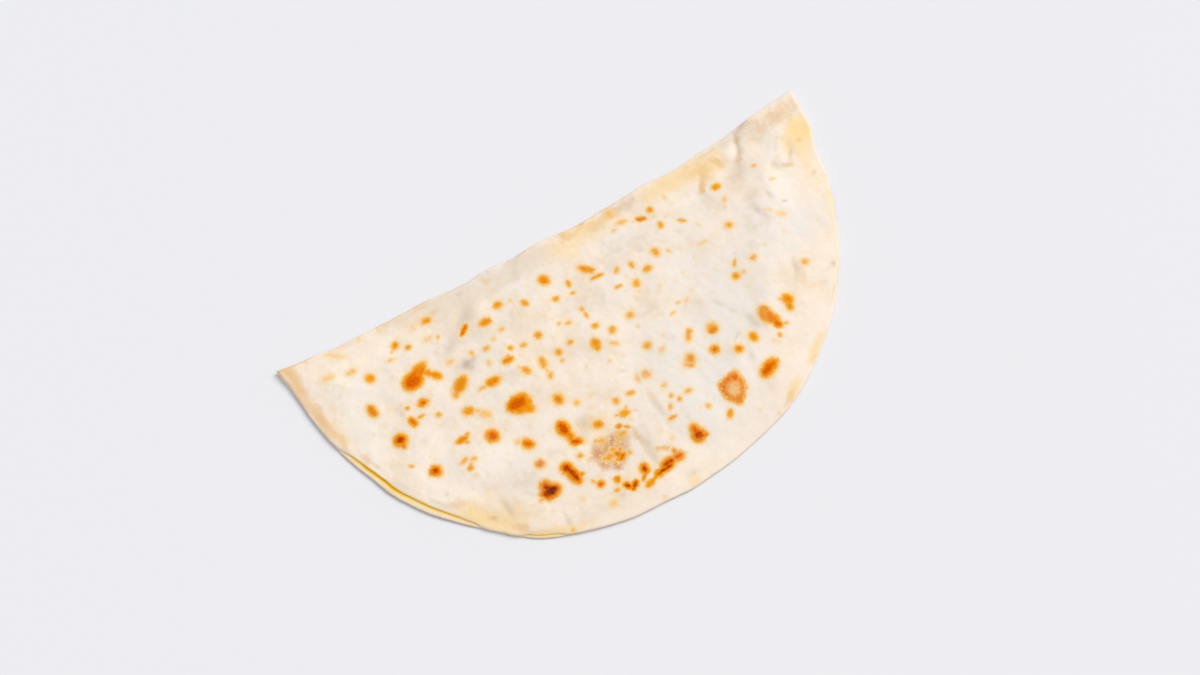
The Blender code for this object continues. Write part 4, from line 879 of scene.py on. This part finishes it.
class Surface:
    """The qutab's mesh, collected as vertices, faces and what each vertex shows."""

    def __init__(self):
        self.corners = []
        self.faces = []
        self.shows = {name: [] for name in SHOWN}
        self.count = 0

    def add(self, places, heights, **shows):
        """Adds vertices and returns their indices."""
        self.corners.append(np.column_stack([places, heights]))
        for name, values in self.shows.items():
            values.append(np.broadcast_to(shows.get(name, SHOWN[name]), len(places)))
        first = self.count
        self.count += len(places)
        return np.arange(first, self.count)

    def bridge(self, low, high):
        """Triangles between two closed rings of indices."""
        low_next, high_next = np.roll(low, -1), np.roll(high, -1)
        self.faces.append(np.column_stack([low, low_next, high_next]))
        self.faces.append(np.column_stack([low, high_next, high]))


def top_shows(places, inset, marks):
    """What the top face shows at places that lie inset from the edge."""
    shows = {name: patches(places, rows) for name, rows in PATCHES.items()}
    shows["scorch_depth"], shows["scorch_heat"] = ring_mark(places, *scorch(places, marks))
    shows["filled"] = smooth((inset - RIM) / SHOULDER)
    return shows


def edge_shows(profile, n):
    """What ring n of the edge's profile shows. seam_inset is how far a place lies back from the top leaf's
    edge, round its lower corner, and negative on the strip that sticks out from under it."""
    inset, height = profile[n]
    leaf_inset = profile[LEAF_RING][0]
    leaf_foot = profile[LEAF_FOOT_RING][1]
    # The bottom leaf's edge: tan from the griddle, which also warms the shade on its lower side.
    if n <= BROWNED_RING:
        inward = smooth((inset - BROWNED_START) / BROWNED_EDGE)
        return {"tanned": BROWNING_AND_WARM_SHADE * (1 - inward), "underside": inward}
    if n <= STRIP_RING:
        return {"oily": STRIP_OIL, "seam_inset": (inset - leaf_inset) / MM}
    rise = np.maximum(height - leaf_foot, 0) + np.maximum(inset - leaf_inset, 0)
    return {"seam_inset": rise / MM}


def add_rings(surface, outline, marks):
    """Adds the edge and the first narrow rings of the top face. Returns the first ring's indices, then the
    last one's indices, places and inset."""
    profile = smooth_profile(edge_profiles(outline))
    seam_oil = eased(np.degrees(outline.angle), SEAM_OIL_KNOTS) * (outline.seam > 0)
    rings = []
    for n, (inset, height) in enumerate(profile):
        places = outline.places + inset[:, None] * outline.inward
        shows = top_shows(places, inset, marks) if n >= LEAF_RING else {}
        shows |= edge_shows(profile, n)
        rings.append(surface.add(places, height, seam_oil=seam_oil, **shows))
    for step in TOP_STEPS:
        last_inset = inset + step
        places = outline.places + last_inset[:, None] * outline.inward
        ring_inset, station = outline.nearest(places)
        height = outline.top_height_at(places, ring_inset, station)
        shows = top_shows(places, ring_inset, marks)
        rings.append(surface.add(places, height, seam_inset=FAR_FROM_SEAM, seam_oil=seam_oil, **shows))
    for low, high in zip(rings[:-1], rings[1:]):
        surface.bridge(low, high)
    return rings[0], rings[-1], places, last_inset


def add_top(surface, outline, marks, ring, ring_places, ring_inset):
    """Adds the top face inside a ring."""
    points, inset, station = top_points(outline, ring_places, ring_inset, marks)
    height = outline.top_height_at(points, inset, station)
    inner = surface.add(points, height, seam_inset=FAR_FROM_SEAM, **top_shows(points, inset, marks))
    surface.faces.append(np.concatenate([ring, inner])[triangulate(ring_places, points)])


def add_underside(surface, outline, ring):
    """Adds the flat underside, inside the ring that lies REST_RING in from the edge."""
    ring_places = outline.places + REST_RING * outline.inward
    points = staggered(ring_places.min(axis=0), ring_places.max(axis=0), UNDER_SPACING)
    inset, station = outline.nearest(points)
    points = points[(inset > REST_RING + 0.5 * UNDER_SPACING) & outline.inside(points, station)]
    marks = freckles(UNDER_MARKS, UNDER_REACH, UNDER_HEAT, UNDER_SEED, under_within)
    depth, heat = scorch(points, marks)
    inner = surface.add(points, 0 * depth, scorch_depth=depth, scorch_heat=heat, underside=1.0)
    surface.faces.append(np.concatenate([ring, inner])[triangulate(ring_places, points)][:, ::-1])


def build_surface():
    outline = Outline(ROUND_STATIONS, FOLD_STATIONS)
    faint = freckles(FRECKLES, FRECKLE_REACH, FRECKLE_HEAT, FRECKLE_SEED, within_edge)
    marks = (*faint, *MARKS, *ROUGH_BITS)
    surface = Surface()
    first, *last = add_rings(surface, outline, marks)
    add_top(surface, outline, marks, *last)
    add_underside(surface, outline, first)
    return surface


def mesh_of(surface):
    """The surface as a mesh in the frame: out runs towards -Y, and the footprint's middle is the origin."""
    corners = np.concatenate(surface.corners)
    middle = (corners.min(axis=0) + corners.max(axis=0)) / 2
    corners = np.column_stack([corners[:, 0] - middle[0], middle[1] - corners[:, 1], corners[:, 2]])
    faces = np.concatenate(surface.faces)
    data = bpy.data.meshes.new("qutab_dough")
    data.from_pydata(corners.tolist(), [], faces[:, ::-1].tolist())
    for name, values in surface.shows.items():
        layer = data.attributes.new(name, "FLOAT", "POINT")
        layer.data.foreach_set("value", np.concatenate(values).astype(np.float32))
    data.shade_smooth()
    data.update()
    return data, middle


# ---------------------------------------------------------------- material


def linear(colour):
    """A display colour, 0 to 255, as a linear colour with alpha."""
    share = [c / 255 for c in colour]
    return (*(c / 12.92 if c <= 0.04045 else ((c + 0.055) / 1.055) ** 2.4 for c in share), 1.0)


IVORY = linear((247, 233, 217))
IVORY_DEEP = linear((243, 226, 205))
PALE = linear((242, 229, 215))
PALE_BROWN = linear((239, 221, 200))
# Partly painted light, for slopes that face away from the key.
BLEACH_AND_LIGHT = linear((252, 242, 229))
COOL = linear((235, 229, 222))
# Partly painted shade, in dents, creases and wrinkles and along the fold.
DUSK_AND_SHADE = linear((220, 202, 178))
OIL = linear((247, 213, 146))
TAN = linear((228, 181, 114))
# Partly painted shade, in creases, dents and wrinkles.
GREY_AND_SHADE = linear((178, 158, 136))
SEAM_OIL = linear((250, 201, 66))
SEAM_EDGE = linear((255, 222, 150))
ROUGH = linear((206, 144, 84))
ROUGH_PALE = linear((244, 216, 182))

RUDDY = linear((216, 136, 104))
GOLDEN = linear((244, 168, 0))

# Heat, colour and how much it covers.
SCORCH_RAMP = (
    (0.00, (252, 232, 196), 0.00),
    (0.10, (240, 218, 176), 0.30),
    (0.20, (243, 209, 152), 0.65),
    (0.30, (243, 196, 120), 0.88),
    (0.40, (238, 177, 88), 1.00),
    (0.50, (235, 160, 56), 1.00),
    (0.60, (232, 146, 26), 1.00),
    (0.70, (232, 129, 8), 1.00),
    (0.80, (222, 104, 3), 1.00),
    (0.88, (196, 80, 4), 1.00),
    (0.95, (148, 62, 14), 1.00),
    (1.00, (96, 46, 24), 1.00),
)

# The dry, bare dough, and what full oil or a scorch mark takes off.
ROUGHNESS = 0.62
OIL_SMOOTHING = 0.22
SPECULAR = 0.08
SCORCH_DULLING = 0.07
BUMP_DEPTH = 0.16 * MM
SCATTER = 0.15
SCATTER_SHARES = (1.0, 0.65, 0.35)  # of red, green and blue
SCATTER_DEPTH = 1.2 * MM


class Nodes:
    """Short ways to add and join a material's nodes."""

    def __init__(self, material):
        self.tree = material.node_tree

    def new(self, kind, **settings):
        node = self.tree.nodes.new(kind)
        for name, value in settings.items():
            setattr(node, name, value)
        return node

    def feed(self, socket, value):
        if isinstance(value, bpy.types.NodeSocket):
            self.tree.links.new(value, socket)
        else:
            socket.default_value = value

    def math(self, operation, *values, clamp=False):
        node = self.new("ShaderNodeMath", operation=operation, use_clamp=clamp)
        for socket, value in zip(node.inputs, values):
            self.feed(socket, value)
        return node.outputs[0]

    def times(self, value, factor):
        return self.math("MULTIPLY", value, factor)

    def scaled(self, value, factor, plus):
        """value * factor + plus."""
        return self.math("MULTIPLY_ADD", value, factor, plus)

    def mix(self, share, first, second, blend="MIX"):
        node = self.new("ShaderNodeMix", data_type="RGBA", blend_type=blend)
        inputs, outputs = ({s.identifier: s for s in side} for side in (node.inputs, node.outputs))
        for name, value in (("Factor_Float", share), ("A_Color", first), ("B_Color", second)):
            self.feed(inputs[name], value)
        return outputs["Result_Color"]

    def attribute(self, name):
        return self.new("ShaderNodeAttribute", attribute_name=name).outputs["Fac"]

    def noise(self, place, length, detail=2.0, roughness=0.5, offset=0.0):
        """Noise of about that wavelength in metres, centred on 0, from about -0.5 to 0.5."""
        node = self.new("ShaderNodeTexNoise", noise_dimensions="4D")
        self.feed(node.inputs["Vector"], place)
        node.inputs["W"].default_value = offset
        node.inputs["Scale"].default_value = 1 / length
        node.inputs["Detail"].default_value = detail
        node.inputs["Roughness"].default_value = roughness
        return self.math("SUBTRACT", node.outputs["Fac"], 0.5)

    def step(self, value, low, high):
        """0 below low and 1 above high, with a smooth step between."""
        node = self.new("ShaderNodeMapRange", interpolation_type="SMOOTHSTEP")
        for name, number in (("Value", value), ("From Min", low), ("From Max", high)):
            self.feed(node.inputs[name], number)
        return node.outputs["Result"]


def scorch_colour(nodes, place):
    """The scorch marks' colour, how much it covers, and their heat."""
    ragged = nodes.noise(place, 1.5 * MM, detail=3.0, roughness=0.7, offset=1.0)
    grain = nodes.noise(place, 0.75 * MM, detail=2.0, roughness=0.6, offset=2.0)
    depth = nodes.scaled(ragged, 0.55, nodes.attribute("scorch_depth"))
    depth = nodes.scaled(grain, 0.8, depth)
    halo = nodes.times(nodes.step(depth, -2.5, -0.5), 0.18)
    edge = nodes.scaled(nodes.step(depth, -1.25, 1.65), 0.82, halo)
    mottle = nodes.noise(place, 1.5 * MM, detail=3.0, roughness=0.65, offset=3.0)
    grainy = nodes.scaled(nodes.attribute("ruddy"), 0.45, 0.35)
    uneven = nodes.scaled(mottle, 0.22, nodes.times(grain, grainy))
    hottest = nodes.step(nodes.attribute("scorch_heat"), 0.72, 0.95)
    calm = nodes.scaled(hottest, -0.60, 1.0)
    shade = nodes.scaled(uneven, calm, nodes.scaled(hottest, 0.022, 0.99))
    heat = nodes.times(nodes.times(nodes.attribute("scorch_heat"), shade), edge)
    ramp = nodes.new("ShaderNodeValToRGB")
    nodes.feed(ramp.inputs["Fac"], heat)
    stops = ramp.color_ramp.elements
    for n, (at, colour, cover) in enumerate(SCORCH_RAMP):
        stop = stops[n] if n < 2 else stops.new(at)
        stop.position = at
        stop.color = (*linear(colour)[:3], cover)
    colour = ramp.outputs["Color"]
    cooler = nodes.math("SUBTRACT", 1.0, nodes.step(heat, 0.65, 1.0))
    tinted = nodes.times(nodes.step(heat, 0.10, 0.50), cooler)
    for name, tint, most in (("ruddy", RUDDY, 0.40), ("golden", GOLDEN, 0.55)):
        share = nodes.times(nodes.attribute(name), tinted)
        colour = nodes.mix(nodes.times(share, most), colour, tint)
    return colour, ramp.outputs["Alpha"], heat


def dough_colour(nodes, place):
    """The bare dough: ivory on the rim, paler and greyer over the filling, with oily, tanned, grey and
    rough places, with painted light on slopes that face away from the key and painted shade in dents,
    creases and along the fold."""
    clouds = nodes.step(nodes.noise(place, 13 * MM, detail=3.0, roughness=0.6, offset=4.0), -0.22, 0.22)
    small = nodes.noise(place, 2.6 * MM, detail=3.0, roughness=0.6, offset=5.0)
    blotch = nodes.noise(place, 5.0 * MM, detail=3.0, roughness=0.6, offset=6.0)
    rim = nodes.mix(clouds, IVORY, IVORY_DEEP)
    patchy = nodes.scaled(blotch, 0.9, nodes.noise(place, 17 * MM, detail=1.0, offset=10.0))
    brownish = nodes.step(patchy, -0.05, 0.20)
    over_filling = nodes.mix(brownish, PALE, PALE_BROWN)
    filled = nodes.step(nodes.scaled(blotch, 1.2, nodes.attribute("filled")), 0.05, 0.60)
    colour = nodes.mix(filled, rim, over_filling)

    speck = nodes.noise(place, 0.9 * MM, detail=3.0, roughness=0.7, offset=7.0)
    uneven = nodes.scaled(small, 0.7, nodes.times(blotch, 0.7))
    uneven = nodes.scaled(speck, 0.2, uneven)
    # The dusk tint partly paints shade into dents, creases, wrinkles and along the fold.
    # The paler tint partly paints light onto slopes that face away from the key.
    tints = {"bleached": BLEACH_AND_LIGHT, "cooled": COOL, "dusky": DUSK_AND_SHADE, "oily": OIL, "tanned": TAN}
    for name, tint in tints.items():
        strength = nodes.attribute(name)
        crisp = nodes.step(nodes.math("ADD", strength, uneven), 0.12, 0.42)
        share = nodes.times(crisp, nodes.scaled(strength, 0.7, 0.12))
        share = nodes.times(share, nodes.step(strength, 0.01, 0.10))
        colour = nodes.mix(share, colour, tint)
    # The grey tint is partly painted shade in creases, dents and wrinkles.
    speckled = nodes.scaled(small, 1.6, 1.0)
    greyed = nodes.math("MULTIPLY", nodes.attribute("greyed"), speckled, clamp=True)
    colour = nodes.mix(nodes.times(greyed, 0.62), colour, GREY_AND_SHADE)

    speckle = nodes.step(nodes.scaled(small, 0.5, speck), 0.02, 0.20)
    rough = nodes.step(nodes.scaled(uneven, 1.1, nodes.attribute("thinned")), 0.05, 0.90)
    rough_colour = nodes.mix(speckle, ROUGH, ROUGH_PALE)
    colour = nodes.mix(nodes.times(rough, 0.95), colour, rough_colour)

    shade = nodes.scaled(small, 0.05, 1.0)
    tone = nodes.new("ShaderNodeCombineColor")
    for socket in tone.inputs:
        nodes.feed(socket, shade)
    return nodes.mix(1.0, colour, tone.outputs[0], blend="MULTIPLY")


def seam_colour(nodes, place, colour):
    """The golden oil in the seam and the drops on the edge, over a colour, and how wet it is."""
    wander = nodes.noise(place, 3.0 * MM, detail=2.0, offset=11.0)
    inset = nodes.scaled(wander, 0.9, nodes.attribute("seam_inset"))
    outer = nodes.step(inset, -SEAM_OIL_WIDTH, -0.35 * SEAM_OIL_WIDTH)
    inner = nodes.math("SUBTRACT", 1.0, nodes.step(inset, 0.3, 1.7))
    line = nodes.times(outer, inner)
    strength = nodes.times(line, nodes.attribute("seam_oil"))
    dripped = nodes.attribute("dripped")
    drop = nodes.step(nodes.scaled(wander, 0.5, dripped), 0.15, 0.75)
    strength = nodes.math("MAXIMUM", strength, nodes.times(drop, nodes.step(dripped, 0.02, 0.2)))
    colour = nodes.mix(nodes.step(strength, 0.0, 0.55), colour, SEAM_EDGE)
    return nodes.mix(nodes.step(strength, 0.45, 1.0), colour, SEAM_OIL), strength


def dough_bump(nodes, place, heat):
    """Fine pores and wrinkles, rougher where the dough is scorched or thin."""
    pores = nodes.noise(place, 0.7 * MM, detail=3.0, roughness=0.6, offset=8.0)
    wrinkles = nodes.noise(place, 2.2 * MM, detail=2.0, offset=9.0)
    height = nodes.scaled(pores, 0.5, wrinkles)
    strength = nodes.scaled(heat, 0.9, 0.7)
    strength = nodes.scaled(nodes.attribute("thinned"), 1.4, strength)
    bump = nodes.new("ShaderNodeBump")
    bump.inputs["Distance"].default_value = BUMP_DEPTH
    nodes.feed(bump.inputs["Height"], nodes.times(height, strength))
    return bump.outputs["Normal"]


def new_material(name):
    """A new material and its shader."""
    material = bpy.data.materials.new(name)
    material.use_nodes = True
    return material, material.node_tree.nodes["Principled BSDF"]


def placed(name, data):
    """A new object of that data in the scene."""
    made = bpy.data.objects.new(name, data)
    bpy.context.scene.collection.objects.link(made)
    return made


def dough_material():
    material, shader = new_material("griddled_dough")
    nodes = Nodes(material)
    place = nodes.new("ShaderNodeTexCoord").outputs["Object"]

    colour = dough_colour(nodes, place)
    colour, seam = seam_colour(nodes, place, colour)
    scorched, cover, heat = scorch_colour(nodes, place)
    colour = nodes.mix(cover, colour, scorched)
    nodes.feed(shader.inputs["Base Color"], colour)

    wet = nodes.math("MAXIMUM", seam, nodes.times(nodes.attribute("oily"), 0.5))
    nodes.feed(shader.inputs["Roughness"], nodes.scaled(wet, -OIL_SMOOTHING, ROUGHNESS))
    nodes.feed(shader.inputs["Normal"], dough_bump(nodes, place, heat))
    nodes.feed(shader.inputs["Specular IOR Level"], nodes.scaled(cover, -SCORCH_DULLING, SPECULAR))
    shader.inputs["Subsurface Weight"].default_value = SCATTER
    shader.inputs["Subsurface Radius"].default_value = SCATTER_SHARES
    shader.inputs["Subsurface Scale"].default_value = SCATTER_DEPTH
    return material


def build_dough():
    data, middle = mesh_of(build_surface())
    dough = placed("qutab_dough", data)
    data.materials.append(dough_material())
    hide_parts(NODE)
    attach(dough, "root")
    return middle


# ---------------------------------------------------------------- floor, light and camera


def build_floor():
    mesh = bpy.data.meshes.new("floor")
    half = FLOOR_SIZE / 2
    corners = [(-half, -half, 0), (half, -half, 0), (half, half, 0), (-half, half, 0)]
    mesh.from_pydata(corners, [], [(0, 1, 2, 3)])
    floor = placed("floor", mesh)
    floor.location.z = -FLOOR_DROP
    material, shader = new_material("pale_floor")
    shader.inputs["Base Color"].default_value = linear(FLOOR_COLOUR)
    shader.inputs["Roughness"].default_value = FLOOR_ROUGHNESS
    shader.inputs["Specular IOR Level"].default_value = FLOOR_SPECULAR
    mesh.materials.append(material)


def from_camera(right, away, up):
    """A direction given by how the photo is seen: to its right, away from the viewer, and up."""
    across = Vector((math.cos(CAMERA_AZIMUTH), math.sin(CAMERA_AZIMUTH), 0))
    ahead = Vector((-across.y, across.x, 0))
    return (across * right + ahead * away + Vector((0, 0, up))).normalized()


def facing(direction):
    """The turn of a camera or lamp that looks back from that direction."""
    return (-direction).to_track_quat("-Z", "Y").to_euler()


def build_light():
    light = bpy.data.lights.new("key", "SUN")
    light.angle = KEY_SIZE
    light.energy = KEY_STRENGTH
    light.color = KEY_COLOUR
    placed("key", light).rotation_euler = facing(from_camera(*KEY_FROM))
    world = bpy.data.worlds.new("studio")
    world.use_nodes = True
    background = world.node_tree.nodes["Background"]
    background.inputs["Color"].default_value = STUDIO_COLOUR
    background.inputs["Strength"].default_value = STUDIO_STRENGTH
    bpy.context.scene.world = world


def build_camera(middle):
    lens = bpy.data.cameras.new("camera")
    lens.lens = LENS
    lens.sensor_width = SENSOR
    camera = placed("camera", lens)
    target = Vector((AIM[0] - middle[0], middle[1] - AIM[1], 0))
    back = from_camera(0, -math.cos(CAMERA_ELEVATION), math.sin(CAMERA_ELEVATION))
    camera.location = target + back * CAMERA_DISTANCE
    camera.rotation_euler = facing(back)
    bpy.context.scene.camera = camera


middle = build_dough()
build_floor()
build_light()
build_camera(middle)
bpy.context.scene.view_settings.view_transform = "Standard"
bpy.context.scene.view_settings.look = "None"
